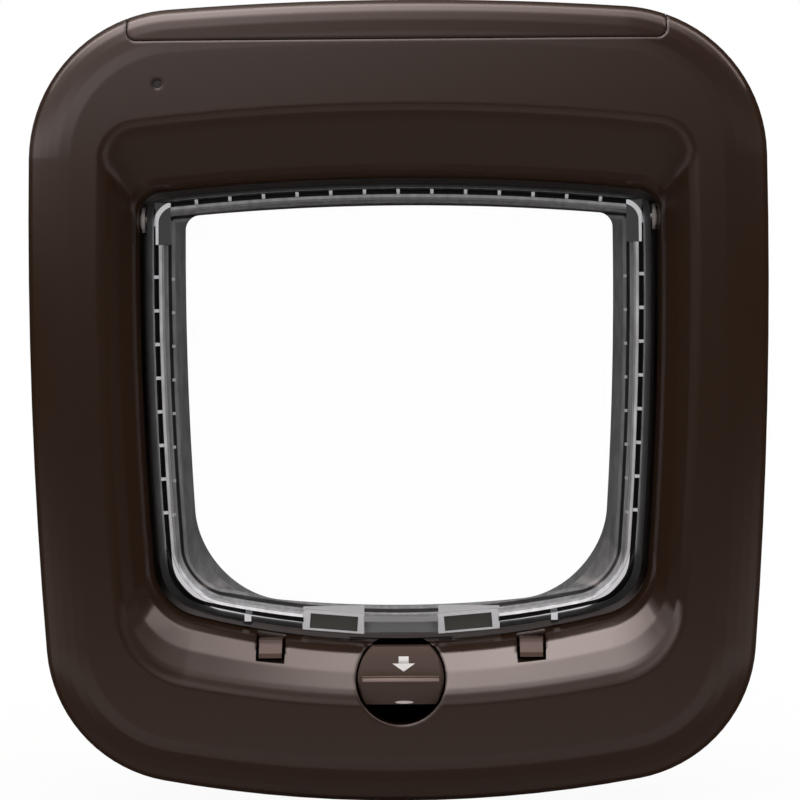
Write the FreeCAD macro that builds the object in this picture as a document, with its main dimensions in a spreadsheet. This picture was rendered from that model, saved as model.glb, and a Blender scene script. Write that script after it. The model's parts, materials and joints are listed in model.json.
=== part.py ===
import FreeCAD, Part
import math
import os
import re
import Sketcher
from FreeCAD import Placement, Rotation, Vector

# Electronic cat flap for a 44 mm door.
# Frame: origin at the centre of the passage on the door's room-side surface.
# +X to the right seen from the room, +Y into the door, +Z up. The room side is at negative Y.
# A depth is counted from the door's surface towards the room, so depth 36 lies at Y = -36.

# Driving dimensions, in millimetres and degrees.
SIZES = {
    # Outline of the housing: eight tangent arcs, bulged sides, rounded corners
    "frame_half_width": 111.0,
    "frame_top": 119.9,
    "frame_bottom": 120.5,
    "frame_widest": 42.0,
    "frame_top_radius": 971.0,
    "frame_side_radius": 1536.0,
    "frame_bottom_radius": 400.0,
    "frame_top_corner": 45.3,
    "frame_bottom_corner": 42.9,
    # Rim of the funnel on the front face
    "rim_half_width": 90.0,
    "rim_top": 88.6,
    "rim_bottom": 91.6,
    "rim_widest": 39.0,
    "rim_top_radius": 680.0,
    "rim_side_radius": 1150.0,
    "rim_bottom_radius": 334.0,
    "rim_top_corner": 12.0,
    "rim_bottom_corner": 25.0,
    # Outer edge of the flap
    "flap_half_width": 76.4,
    "flap_top": 65.0,
    "flap_bottom": 71.2,
    "flap_widest": 39.0,
    "flap_top_radius": 685.0,
    "flap_side_radius": 1150.0,
    "flap_bottom_radius": 251.0,
    "flap_top_corner": 4.4,
    "flap_bottom_corner": 14.5,
    # Outer side of the channel in the flap's rim
    "groove_half_width": 74.3,
    "groove_top": 64.0,
    "groove_bottom": 69.2,
    "groove_widest": 39.0,
    "groove_top_radius": 685.0,
    "groove_side_radius": 1148.0,
    "groove_bottom_radius": 255.0,
    "groove_top_corner": 3.6,
    "groove_bottom_corner": 14.0,
    # Outer edge of the flap's inner rail
    "rail_half_width": 72.7,
    "rail_top": 62.2,
    "rail_bottom": 67.6,
    "rail_widest": 39.0,
    "rail_top_radius": 685.0,
    "rail_side_radius": 1150.0,
    "rail_bottom_radius": 270.0,
    "rail_top_corner": 4.4,
    "rail_bottom_corner": 14.0,
    # Edge of the flat window at the bottom of the flap's dish
    "window_half_width": 65.4,
    "window_top": 59.2,
    "window_bottom": 63.2,
    "window_widest": 39.0,
    "window_top_radius": 727.0,
    "window_side_radius": 1150.0,
    "window_bottom_radius": 376.0,
    "window_top_corner": 4.0,
    "window_bottom_corner": 24.0,
    # Moulded housing
    "frame_depth": 36.0,
    "wall": 2.5,
    "front_wall": 5.0,
    "crown_width": 13.0,
    "crown_drop": 6.0,
    "funnel_depth": 18.0,
    "rim_share": 0.25,
    "slope_share": 0.55,
    "slope_start": 42.0,
    "slope_end": 48.0,
    "swing_gap": 2.0,
    "door_thickness": 44.0,
    "plate_thickness": 2.5,
    "plate_gap": 0.3,
    "tunnel_wall": 1.6,
    "inner_tunnel_length": 30.0,
    "sleeve_gap": 0.5,
    "sleeve_length": 26.0,
    "outer_depth": 12.0,
    "outer_crown_width": 10.0,
    "outer_crown_drop": 5.0,
    "outer_face": 3.5,
    # Flap
    "pivot_height": 55.0,
    "pivot_depth": 16.0,
    "flap_thickness": 8.0,
    "channel_floor": 2.4,
    "rail_width": 1.6,
    "dish_ledge": 0.6,
    "dish_ledge_depth": 4.0,
    "dish_depth": 9.5,
    "window_thickness": 2.0,
    "dish_wall": 1.8,
    "rib_pitch": 10.25,
    "rib_thickness": 1.0,
    "rib_drop": 1.2,
    "rib_overlap": 0.4,
    "top_rib_count": 13,
    "side_rib_count": 8,
    "first_side_rib": 17.4,
    "hinge_block_inner": 69.0,
    "hinge_block_width": 4.6,
    "hinge_block_below": 7.6,
    "hinge_block_above": 5.0,
    "hinge_lug_radius": 3.2,
    "pin_radius": 1.5,
    "pin_length": 11.5,
    "pin_insertion": 6.0,
    "running_gap": 0.05,
    "bush_flange_radius": 3.9,
    "bush_flange": 1.0,
    "bush_radius": 2.5,
    "bush_length": 5.0,
    "bush_seat_gap": 0.55,
    "pile_height": 1.4,
    "pile_thickness": 2.0,
    "pile_stop_reach": 46.5,
    "pile_stop_width": 2.2,
    "pile_stop_height": 1.2,
    "pile_stop_root": 1.0,
    "pile_below_hinge": 5.5,
    "magnet_spacing": 20.6,
    "magnet_width": 14.4,
    "magnet_height": 4.4,
    "magnet_depth": 5.0,
    "magnet_frame": 2.0,
    "magnet_roof": 1.0,
    "magnet_edge": 0.6,
    "magnet_recess": 0.6,
    "magnet_gap": 0.05,
    "notch_half_width": 11.1,
    "notch_height": 3.3,
    "lock_web": 2.0,
    # Lock
    "lock_offset": 12.4,
    "knob_hole_radius": 13.5,
    "knob_gap": 0.6,
    "knob_flat_top": 9.6,
    "knob_flat_bottom": 7.6,
    "knob_back_depth": 24.5,
    "knob_front_depth": 33.5,
    "knob_crown_radius": 26.0,
    "knob_rim_chamfer": 0.9,
    "grip_length": 22.8,
    "grip_width": 1.8,
    "grip_height": 1.6,
    "well_wall": 2.0,
    "well_depth": 13.5,
    "well_floor": 1.5,
    "spindle_radius": 3.0,
    "spindle_socket": 4.0,
    "cam_reach": 2.6,
    "cam_angle": 124.0,
    "cam_lead": 45.0,
    "cam_thickness": 3.0,
    "cam_gap": 0.5,
    "cam_hub_radius": 5.0,
    "slot_gap": 0.3,
    "bearing_length": 8.0,
    "bearing_radius": 4.6,
    # Latch
    "latch_spacing": 39.3,
    "latch_width": 7.0,
    "latch_gap": 0.85,
    "latch_depth": 5.0,
    "latch_standoff": 1.2,
    "latch_sink": 0.6,
    "latch_travel": 5.0,
    "latch_bar_rise": 9.0,
    "latch_bar_height": 5.0,
    "solenoid_centre": 24.5,
    "solenoid_width": 13.0,
    "solenoid_thickness": 11.6,
    "solenoid_rise": 19.6,
    "solenoid_height": 13.8,
    "solenoid_seat_depth": 1.5,
    "plunger_radius": 2.0,
    "plunger_gap": 0.1,
    # Magnets under the sill
    "sill_magnet_inner": 16.4,
    "sill_magnet_width": 10.0,
    "sill_magnet_height": 4.0,
    "sill_magnet_depth": 6.0,
    "sill_magnet_lift": 0.4,
    # Battery bay and electronics
    "cover_half_width": 80.7,
    "cover_height": 12.3,
    "cover_gap": 0.3,
    "cover_corner": 3.0,
    "cover_back": 4.7,
    "cell_radius": 7.25,
    "cell_length": 49.5,
    "cell_tip_radius": 2.75,
    "cell_tip": 1.0,
    "cell_pitch": 14.8,
    "cell_headroom": 1.75,
    "cell_gap": 0.15,
    "contact_thickness": 0.6,
    "tray_wall": 1.5,
    "board_thickness": 1.6,
    "board_front": 27.6,
    "board_gap": 3.25,
    "board_side_gap": 2.0,
    "board_post": 4.0,
    "board_top_gap": 4.0,
    "board_height": 13.0,
    "led_inset": 14.6,
    "led_rise": 4.2,
    "led_hole_radius": 1.35,
    "led_gap": 0.15,
    "led_recess": 0.8,
    "button_inset": 8.0,
    "button_radius": 2.5,
    "button_travel": 1.0,
    "button_height": 5.0,
    "button_stem_radius": 1.0,
    "switch_height": 5.0,
    "chip_height": 1.2,
    "button_depth": 20.0,
    "coil_offset": 0.3,
    "coil_width": 2.8,
    "coil_length": 6.0,
    # Screws
    "housing_screw_radius": 1.5,
    "housing_screw_length": 14.0,
    "housing_head_radius": 2.8,
    "housing_head": 1.6,
    "boss_radius": 4.0,
    "upper_boss_inset": 19.0,
    "upper_boss_drop": 22.9,
    "lower_boss_inset": 27.0,
    "lower_boss_rise": 23.5,
    "fixing_screw_radius": 2.0,
    "fixing_head_radius": 3.8,
    "fixing_head": 2.6,
    "fixing_engagement": 10.0,
    "fixing_boss_radius": 5.0,
    "upper_fixing_inset": 17.5,
    "upper_fixing_rise": 5.0,
    "lower_fixing_inset": 21.0,
    "lower_fixing_lift": 1.2,
    "cap_thickness": 2.0,
    "cap_gap": 0.1,
}

SIDES = (("left", -1), ("right", 1))
ALONG_X = Rotation(Vector(0, 1, 0), 90)
TOWARDS_ROOM = Rotation(Vector(1, 0, 0), 90)

doc = FreeCAD.newDocument("cat_flap")
sheet = doc.addObject("Spreadsheet::Sheet", "sizes")
for row, (alias, number) in enumerate(SIZES.items(), 1):
    sheet.set(f"A{row}", alias)
    sheet.set(f"B{row}", str(number))
    sheet.setAlias(f"B{row}", alias)
doc.recompute()
pieces = []


def amount(text):
    """The value of a sum of named sizes, such as 'frame_depth - front_wall/2'."""
    total = 0.0
    sign = 1.0
    for word in text.split():
        if word in "+-":
            sign = 1.0 if word == "+" else -1.0
            continue
        times, name, share = re.fullmatch(r"(?:(\d+)\*)?([a-z_]+)(?:/(\d+))?", word).groups()
        total += sign * int(times or 1) * SIZES[name] / int(share or 1)
        sign = 1.0
    return total


def linked(text):
    """The same sum as an expression that reads the spreadsheet."""
    return re.sub(r"[a-z_]+", lambda name: "sizes." + name.group(), text)


def negated(text):
    """The same sum with every sign turned."""
    signed = text if text[0] in "+-" else "+ " + text
    return signed.translate(str.maketrans("+-", "-+")).lstrip("+ ")


def bind(thing, prop, text):
    """Bind a property of an object to a sum of sizes."""
    if text:
        thing.setExpression(prop, linked(text))


def place(thing, x="", y="", z="", turn=Rotation()):
    """Put an object at three sums of sizes."""
    thing.Placement = Placement(Vector(amount(x), amount(y), amount(z)), turn)
    for axis, text in zip("xyz", (x, y, z)):
        bind(thing, "Placement.Base." + axis, text)
    return thing


def finish(thing, node):
    """Name a finished piece and keep it for the export."""
    thing.Label = node
    pieces.append(thing)
    return thing


# Bodies with sketches

def new_body(name):
    body = doc.addObject("PartDesign::Body", name)
    return body


def size_of(outline, part):
    """One size of an outline, or of a blend: two outlines and thousandths of the second."""
    if isinstance(outline, str):
        return f"{outline}_{part}"
    first, second, share = outline
    return f"{1000 - share}*{first}_{part}/1000 + {share}*{second}_{part}/1000"


def outline_arcs(outline, grow):
    """Centre, radius, first and last angle of the eight tangent arcs, anticlockwise from the top."""
    size = {part: amount(size_of(outline, part)) for part in (
        "half_width", "top", "bottom", "widest", "top_radius", "side_radius",
        "bottom_radius", "top_corner", "bottom_corner")}
    top_centre = Vector(0, size["top"] - size["top_radius"])
    bottom_centre = Vector(0, size["bottom_radius"] - size["bottom"])
    side_centre = Vector(size["half_width"] - size["side_radius"], size["widest"])

    def corner_centre(end_centre, end_radius, corner, upper):
        """Where the corner's circle is tangent inside both the end arc and the side arc."""
        span = side_centre - end_centre
        reach_end = end_radius - corner
        reach_side = size["side_radius"] - corner
        along = (reach_end ** 2 - reach_side ** 2 + span.Length ** 2) / (2 * span.Length)
        across = math.sqrt(reach_end ** 2 - along ** 2)
        unit = span / span.Length
        foot = end_centre + unit * along
        normal = Vector(-unit.y, unit.x)
        choices = [foot + normal * across, foot - normal * across]
        return max(choices, key=lambda point: point.y if upper else -point.y)

    def heading(start, end):
        return math.atan2(end.y - start.y, end.x - start.x)

    def mirrored(point):
        return Vector(-point.x, point.y)

    upper = corner_centre(top_centre, size["top_radius"], size["top_corner"], True)
    lower = corner_centre(bottom_centre, size["bottom_radius"], size["bottom_corner"], False)
    top_end = heading(top_centre, upper)
    side_top = heading(side_centre, upper)
    side_bottom = heading(side_centre, lower)
    bottom_end = heading(bottom_centre, lower)
    top_radius = size["top_radius"] + grow
    side_radius = size["side_radius"] + grow
    bottom_radius = size["bottom_radius"] + grow
    top_corner = size["top_corner"] + grow
    bottom_corner = size["bottom_corner"] + grow
    return [
        (top_centre, top_radius, top_end, math.pi - top_end),
        (mirrored(upper), top_corner, math.pi - top_end, math.pi - side_top),
        (mirrored(side_centre), side_radius, math.pi - side_top, math.pi - side_bottom),
        (mirrored(lower), bottom_corner, math.pi - side_bottom, math.pi - bottom_end),
        (bottom_centre, bottom_radius, math.pi - bottom_end, 2 * math.pi + bottom_end),
        (lower, bottom_corner, bottom_end, side_bottom),
        (side_centre, side_radius, side_bottom, side_top),
        (upper, top_corner, side_top, top_end),
    ]


def plane_sketch(body, name, depth="", role="XZ_Plane"):
    """A sketch on one of the body's own planes, at a depth given as a sum of sizes."""
    sketch = body.newObject("Sketcher::SketchObject", name)
    plane = next(item for item in body.Origin.OriginFeatures if item.Role == role)
    sketch.AttachmentSupport = (plane, [""])
    sketch.MapMode = "FlatFace"
    sketch.AttachmentOffset = Placement(Vector(0, 0, amount(depth)), Rotation())
    bind(sketch, "AttachmentOffset.Base.z", depth)
    return sketch


def dimension(sketch, kind, *places, text):
    """A dimension of a sketch, bound to a sum of sizes."""
    number = sketch.addConstraint(Sketcher.Constraint(kind, *places, amount(text)))
    bind(sketch, f"Constraints[{number}]", text)


def outline_sketch(body, name, outline, grow="", depth=""):
    """One of the housing's or flap's outlines, grown by a sum of sizes, fully constrained."""
    sketch = plane_sketch(body, name, depth)
    for centre, radius, first, last in outline_arcs(outline, amount(grow)):
        circle = Part.Circle(centre, Vector(0, 0, 1), radius)
        sketch.addGeometry(Part.ArcOfCircle(circle, first, last), False)
    for arc in range(8):
        sketch.addConstraint(Sketcher.Constraint("Tangent", arc, 2, (arc + 1) % 8, 1))
    radii = ("top_radius", "top_corner", "side_radius", "bottom_corner",
             "bottom_radius", "bottom_corner", "side_radius", "top_corner")
    for arc, radius in enumerate(radii):
        dimension(sketch, "Radius", arc, text=f"{size_of(outline, radius)} {grow}".strip())
    sketch.addConstraint(Sketcher.Constraint("PointOnObject", 0, 3, -2))
    sketch.addConstraint(Sketcher.Constraint("PointOnObject", 4, 3, -2))
    reach = {part: f"{size_of(outline, part + '_radius')} - {negated(size_of(outline, edge))[2:]}"
             for part, edge in (("top", "top"), ("bottom", "bottom"), ("side", "half_width"))}
    dimension(sketch, "DistanceY", 0, 3, -1, 1, text=reach["top"])
    dimension(sketch, "DistanceY", -1, 1, 4, 3, text=reach["bottom"])
    for arc, ends in ((2, (-1, 1, 2, 3)), (6, (6, 3, -1, 1))):
        dimension(sketch, "DistanceX", *ends, text=reach["side"])
        dimension(sketch, "DistanceY", -1, 1, arc, 3, text=size_of(outline, "widest"))
    return sketch


def add_feature(body, kind, name):
    feature = body.newObject("PartDesign::" + kind, name)
    body.Tip = feature
    return feature


def pad(body, sketch, length, away=False):
    """Raise a sketch by a length towards the room, or away from it."""
    feature = add_feature(body, "Pad", sketch.Name + "_pad")
    feature.Profile = sketch
    feature.Length = amount(length)
    bind(feature, "Length", length)
    feature.Reversed = away
    doc.recompute()
    return feature


def loft(body, kind, first, *others):
    """A loft through outlines, straight from each to the next, AdditiveLoft or SubtractiveLoft."""
    feature = add_feature(body, kind, first.Name + "_loft")
    feature.Profile = first
    feature.Sections = list(others)
    feature.Ruled = True
    doc.recompute()
    return feature


def edges_at(feature, level):
    """Names of the edges that lie flat at one Y level."""
    boxes = [edge.BoundBox for edge in feature.Shape.Edges]
    flat = [abs(box.YMin - level) < 0.01 and abs(box.YMax - level) < 0.01 for box in boxes]
    return [f"Edge{number}" for number, found in enumerate(flat, 1) if found]


def crown(body, shoulder, away, width, drop):
    """Round the slab's edge in a quarter ellipse, from its shoulder up to the flat face."""
    sections = []
    for angle in range(0, 91, 15):
        across = round(1000 * (1 - math.cos(math.radians(angle))))
        rise = round(1000 * math.sin(math.radians(angle)))
        step = f"{rise}*{drop}/1000"
        sections.append(outline_sketch(body, f"{body.Name}_crown_{angle}", "frame",
                                       f"- {across}*{width}/1000",
                                       f"{shoulder} {'-' if away else '+'} {step}"))
    return loft(body, "AdditiveLoft", *sections)


# Solids and booleans

def box(name, x, y, z, width, depth, height):
    """A block from its lowest corner. Every argument is a sum of sizes."""
    block = place(doc.addObject("Part::Box", name), x, y, z)
    for prop, text in (("Length", width), ("Width", depth), ("Height", height)):
        setattr(block, prop, amount(text))
        bind(block, prop, text)
    return block


def side_box(name, sign, inner, y, z, width, depth, height):
    """A block on the left or right, with its inner face at a distance from the middle."""
    x = inner if sign > 0 else negated(inner + " + " + width)
    return box(name, x, y, z, width, depth, height)


def cylinder(name, x, y, z, radius, length, turn=TOWARDS_ROOM):
    """A cylinder from its base centre, towards the room unless it is turned."""
    rod = place(doc.addObject("Part::Cylinder", name), x, y, z, turn)
    for prop, text in (("Radius", radius), ("Height", length)):
        setattr(rod, prop, amount(text))
        bind(rod, prop, text)
    return rod


def signed(sign, text):
    return text if sign > 0 else negated(text)


def radial_box(name, centre, angle, inner, outer, across, front, depth):
    """A block along a radius of an outline's arc: inner and outer are radii, all in millimetres."""
    block = doc.addObject("Part::Box", name)
    block.Length = outer - inner
    block.Width = depth
    block.Height = across
    along = Vector(math.cos(angle), 0, math.sin(angle))
    normal = Vector(-math.sin(angle), 0, math.cos(angle))
    corner = Vector(centre[0], -front, centre[1]) + along * inner - normal * (across / 2)
    block.Placement = Placement(corner, Rotation(Vector(0, 1, 0), -math.degrees(angle)))
    return block


def fuse(name, *solids):
    if len(solids) == 1:
        return solids[0]
    joined = doc.addObject("Part::MultiFuse", name)
    joined.Shapes = list(solids)
    return joined


def cut(name, base, *tools):
    result = doc.addObject("Part::Cut", name)
    result.Base = base
    result.Tool = fuse(name + "_tools", *tools)
    return result


def common(name, first, second):
    result = doc.addObject("Part::MultiCommon", name)
    result.Shapes = [first, second]
    return result


def group(name, *solids):
    """Like solids that share one node."""
    together = doc.addObject("Part::Compound", name)
    together.Links = list(solids)
    return together


def rounded(name, base, chosen, radius):
    """Round the edges of a solid that a test picks."""
    doc.recompute()
    result = doc.addObject("Part::Fillet", name)
    result.Base = base
    size = amount(radius)
    result.Edges = [(number, size, size)
                    for number, edge in enumerate(base.Shape.Edges, 1) if chosen(edge)]
    return result


# Distances that several pieces share
THROAT = "+ swing_gap"
THROAT_DEPTH = "frame_depth - funnel_depth"
WALL_DEPTH = "frame_depth - 3*front_wall"
WELL_BACK = "frame_depth - well_depth - well_floor"
PIVOT_FRONT = "pivot_depth + flap_thickness/2"
PIVOT_BACK = "pivot_depth - flap_thickness/2"
CAM_FRONT = "pivot_depth + lock_web/2 + cam_gap + cam_thickness"
REAR_CAM_FRONT = "pivot_depth - lock_web/2 - cam_gap"
PAWL_BACK = PIVOT_FRONT + " + latch_standoff"
LOCK_DROP = "flap_bottom + lock_offset"
CAM_RADIUS = "lock_offset + cam_reach"
LATCH_TOP = "flap_bottom + latch_sink"
BAR_BOTTOM = "frame_bottom - latch_bar_rise"
SOLENOID_BOTTOM = "frame_bottom - solenoid_rise"
COVER_SEAM = "frame_top - cover_height"
CELL_ROW = "frame_top - wall - cell_headroom - cell_radius"
BOSS_REACH = "frame_half_width - upper_boss_inset"
BOARD_INNER = "cell_length + cell_tip + cell_gap + contact_thickness + tray_wall + board_gap"
BOARD_OUTER = BOSS_REACH + " - boss_radius - board_side_gap"
BOARD_TOP = COVER_SEAM + " - board_top_gap"
BOARD_BOTTOM = BOARD_TOP + " - board_height"
LED_REACH = BOARD_OUTER + " - led_inset"
LED_HEIGHT = BOARD_BOTTOM + " + led_rise"
BUTTON_REACH = BOARD_INNER + " + button_inset"
SCREW_CORNERS = [(sign, reach, height) for _, sign in SIDES for reach, height in (
    (BOSS_REACH, "frame_top - upper_boss_drop"),
    ("frame_half_width - lower_boss_inset", "- frame_bottom + lower_boss_rise"))]
FIXING_CORNERS = [(sign, reach, height) for _, sign in SIDES for reach, height in (
    ("frame_half_width - upper_fixing_inset", "flap_top + upper_fixing_rise"),
    ("frame_half_width - lower_fixing_inset", "- flap_bottom + lower_fixing_lift"))]


def housing_form():
    """The outer form of the housing: a bulged slab with a crowned front."""
    form = new_body("housing_form")
    pad(form, outline_sketch(form, "housing_outline", "frame"), "frame_depth - crown_drop")
    crown(form, "frame_depth - crown_drop", False, "crown_width", "crown_drop")
    return form


def housing_cavity():
    cavity = new_body("housing_cavity")
    pad(cavity, outline_sketch(cavity, "cavity_outline", "frame", "- wall"),
        "frame_depth - front_wall")
    return cavity


def funnel_wall():
    """The wall from the front rim in to the throat, and the throat's straight tube."""
    tube = new_body("funnel_wall")
    sections = [outline_sketch(tube, f"funnel_outer_{share}", ("rim", "flap", share),
                               f"+ {share}*swing_gap/1000 + wall", depth)
                for share, depth in ((150, "frame_depth - front_wall/2"),
                                     (700, "frame_depth - 2*front_wall"), (1000, WALL_DEPTH))]
    loft(tube, "AdditiveLoft", *sections)
    back = outline_sketch(tube, "throat_outer", "flap", THROAT + " + wall", WALL_DEPTH)
    pad(tube, back, WALL_DEPTH + " - plate_thickness", away=True)
    return tube


def funnel_profile():
    """Shares of the way across and of the depth, in thousandths, from the face to the throat.

    The rim rounds over from the face to the slope, the slope steepens a little, and a second
    round turns it into the straight throat.
    """
    start, end = (math.radians(SIZES[name]) for name in ("slope_start", "slope_end"))
    rim = SIZES["rim_share"]
    slope = SIZES["slope_share"]
    rim_radius = rim / math.sin(start)
    points = [(rim_radius * math.sin(share * start), rim_radius * (1 - math.cos(share * start)))
              for share in (0, 1/3, 2/3, 1)]
    foot, depth = points[-1]
    for share in (1/2, 1):
        tilt = start + (end - start) * share / 2
        points.append((foot + slope * share, depth + slope * share * math.tan(tilt)))
    foot, depth = points[-1]
    throat_radius = (1 - rim - slope) / (1 - math.sin(end))
    for share in (1/3, 2/3, 1):
        tilt = end + (math.pi / 2 - end) * share
        points.append((foot + throat_radius * (math.sin(tilt) - math.sin(end)),
                       depth + throat_radius * (math.cos(end) - math.cos(tilt))))
    deepest = points[-1][1]
    return [(round(1000 * across), round(1000 * depth / deepest)) for across, depth in points]


def funnel_void():
    """The open space inside the funnel, with its rounded rim, and inside the throat."""
    void = new_body("funnel_void")
    sections = [outline_sketch(void, f"funnel_{share}", ("rim", "flap", share),
                               f"+ {share}*swing_gap/1000",
                               f"frame_depth - {depth}*funnel_depth/1000")
                for share, depth in funnel_profile()]
    loft(void, "AdditiveLoft", *sections)
    straight = outline_sketch(void, "throat_inner", "flap", THROAT, THROAT_DEPTH)
    pad(void, straight, THROAT_DEPTH, away=True)
    return void


def cover_block(name, gap):
    """The region of the battery cover, smaller all round by a gap, with rounded lower corners."""
    block = box(name, "- cover_half_width" + gap.replace("-", "+"), "- 2*frame_depth",
                COVER_SEAM + gap.replace("-", "+"), "2*cover_half_width" + gap + gap,
                "2*frame_depth - cover_back" + gap, "frame_top")
    low = amount(COVER_SEAM + gap.replace("-", "+"))

    def lower_corner(edge):
        limits = edge.BoundBox
        return limits.YLength > 1 and limits.XLength < 0.01 and abs(limits.ZMax - low) < 0.01

    return rounded(name + "_rounded", block, lower_corner, "cover_corner")


def build_front_frame(form, cavity):
    shell = cut("housing_opened", cut("housing_shell", form, cavity), cover_block("cover_opening", ""))
    well = cylinder("knob_well", "", negated(WELL_BACK), negated(LOCK_DROP),
                    "knob_hole_radius + well_wall", "well_depth + well_floor - front_wall/2")
    added = [shell, funnel_wall(), well]
    removed = [funnel_void()]
    removed.append(cylinder("knob_hole", "", negated(WELL_BACK + " + well_floor"), negated(LOCK_DROP),
                            "knob_hole_radius", "2*well_depth"))
    removed.append(cylinder("spindle_hole", "", "- pivot_depth", negated(LOCK_DROP),
                            "spindle_radius + running_gap", "well_depth"))
    for name, front in (("inward_slot", CAM_FRONT), ("outward_slot", REAR_CAM_FRONT)):
        removed.append(box(name, negated(CAM_RADIUS + " + cam_gap"), negated(front + " + slot_gap"),
                           "- flap_bottom - swing_gap - 2*wall", "2*lock_offset + 2*cam_reach + 2*cam_gap",
                           "cam_thickness + 2*slot_gap", "3*wall"))
    for side, sign in SIDES:
        removed.append(side_box(side + "_latch_slot", sign, "latch_spacing - latch_width/2 - latch_gap",
                                negated(PAWL_BACK + " + latch_depth + latch_gap"), "- rim_bottom",
                                "latch_width + 2*latch_gap", "latch_depth + 2*latch_gap",
                                "rim_bottom - flap_bottom + swing_gap"))
        added.append(side_box(side + "_latch_rest", sign, "latch_spacing - latch_width/2",
                              negated("frame_depth - front_wall/2"),
                              "- frame_bottom + crown_width/2",
                              "latch_width", "front_wall/2 + 2*latch_depth",
                              "latch_bar_rise - crown_width/2 - slot_gap/2"))
        hole_start = "flap_half_width" if sign > 0 else "flap_half_width + 2*bush_length"
        removed.append(cylinder(side + "_bush_hole", signed(sign, hole_start), "- pivot_depth",
                                "pivot_height", "bush_radius", "2*bush_length", ALONG_X))
    for number, (sign, reach, height) in enumerate(SCREW_CORNERS, 1):
        added.append(cylinder(f"boss_{number}", signed(sign, reach), "- plate_thickness", height,
                              "boss_radius", "frame_depth - front_wall - plate_thickness"))
        removed.append(cylinder(f"boss_hole_{number}", signed(sign, reach), "- plate_thickness",
                                height, "housing_screw_radius",
                                "housing_screw_length + housing_head"))
    added.append(box("solenoid_seat", "solenoid_centre - plunger_radius", "- frame_depth + front_wall/2",
                     negated(SOLENOID_BOTTOM), "2*plunger_radius",
                     "front_wall/2 + solenoid_seat_depth", "solenoid_height/2"))
    added.append(box("cover_lip", "- cover_half_width - wall", "- frame_depth + front_wall + slot_gap",
                     COVER_SEAM + " - 2*wall", "2*cover_half_width + 2*wall", "wall/2", "3*wall"))
    added.append(box("cover_lip_root", "- cover_half_width - wall", "- frame_depth + front_wall",
                     COVER_SEAM + " - 2*wall", "2*cover_half_width + 2*wall", "wall/2", "wall"))
    for number, reach in enumerate((BOARD_INNER + " + board_post",
                                    BOARD_OUTER + " - board_post"), 1):
        added.append(cylinder(f"board_post_{number}", negated(reach),
                              negated("board_front"), BOARD_BOTTOM + " + board_post",
                              "board_post/2", "frame_depth - front_wall - board_front"))
    removed.append(cylinder("led_hole", negated(LED_REACH), "- board_front", LED_HEIGHT,
                            "led_hole_radius", "frame_depth"))
    return finish(cut("front_frame_part", fuse("housing_added", *added), *removed), "front_frame")


def build_battery_cover(form, cavity):
    skin = common("cover_skin", form, cover_block("cover_region", " - cover_gap"))
    return finish(cut("battery_cover_part", skin, cavity), "battery_cover")


def passage(name, grow, start, length):
    """The passage's outline as a solid from a depth, away from the room."""
    body = new_body(name)
    pad(body, outline_sketch(body, name + "_outline", "flap", grow, start), length, away=True)
    return body


def build_back_plate():
    plate = new_body("plate_form")
    pad(plate, outline_sketch(plate, "plate_outline", "frame", "- wall - plate_gap"),
        "plate_thickness")
    tunnel = outline_sketch(plate, "tunnel_outer", "flap", THROAT + " + tunnel_wall")
    pad(plate, tunnel, "inner_tunnel_length", away=True)
    added = [plate]
    removed = [passage("inner_passage", THROAT, "plate_thickness",
                       "plate_thickness + inner_tunnel_length")]
    added.append(cylinder("bearing_boss", "", "", negated(LOCK_DROP), "bearing_radius",
                          "plate_thickness + bearing_length"))
    removed.append(cylinder("bearing_bore", "", "- plate_thickness", negated(LOCK_DROP),
                            "spindle_radius + running_gap", "2*bearing_length"))
    for number, (sign, reach, height) in enumerate(SCREW_CORNERS, 1):
        removed.append(cylinder(f"plate_hole_{number}", signed(sign, reach), "", height,
                                "housing_screw_radius + running_gap", "2*plate_thickness"))
        removed.append(cylinder(f"plate_sink_{number}", signed(sign, reach), "", height,
                                "housing_head_radius + slot_gap", "housing_head"))
    for number, (sign, reach, height) in enumerate(FIXING_CORNERS, 1):
        added.append(cylinder(f"fixing_boss_{number}", signed(sign, reach), "", height,
                              "fixing_boss_radius", "plate_thickness + fixing_engagement"))
        removed.append(cylinder(f"fixing_bore_{number}", signed(sign, reach), "", height,
                                "fixing_screw_radius", "plate_thickness + 2*fixing_engagement"))
    return finish(cut("back_plate_part", fuse("plate_added", *added), *removed), "back_plate")


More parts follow.
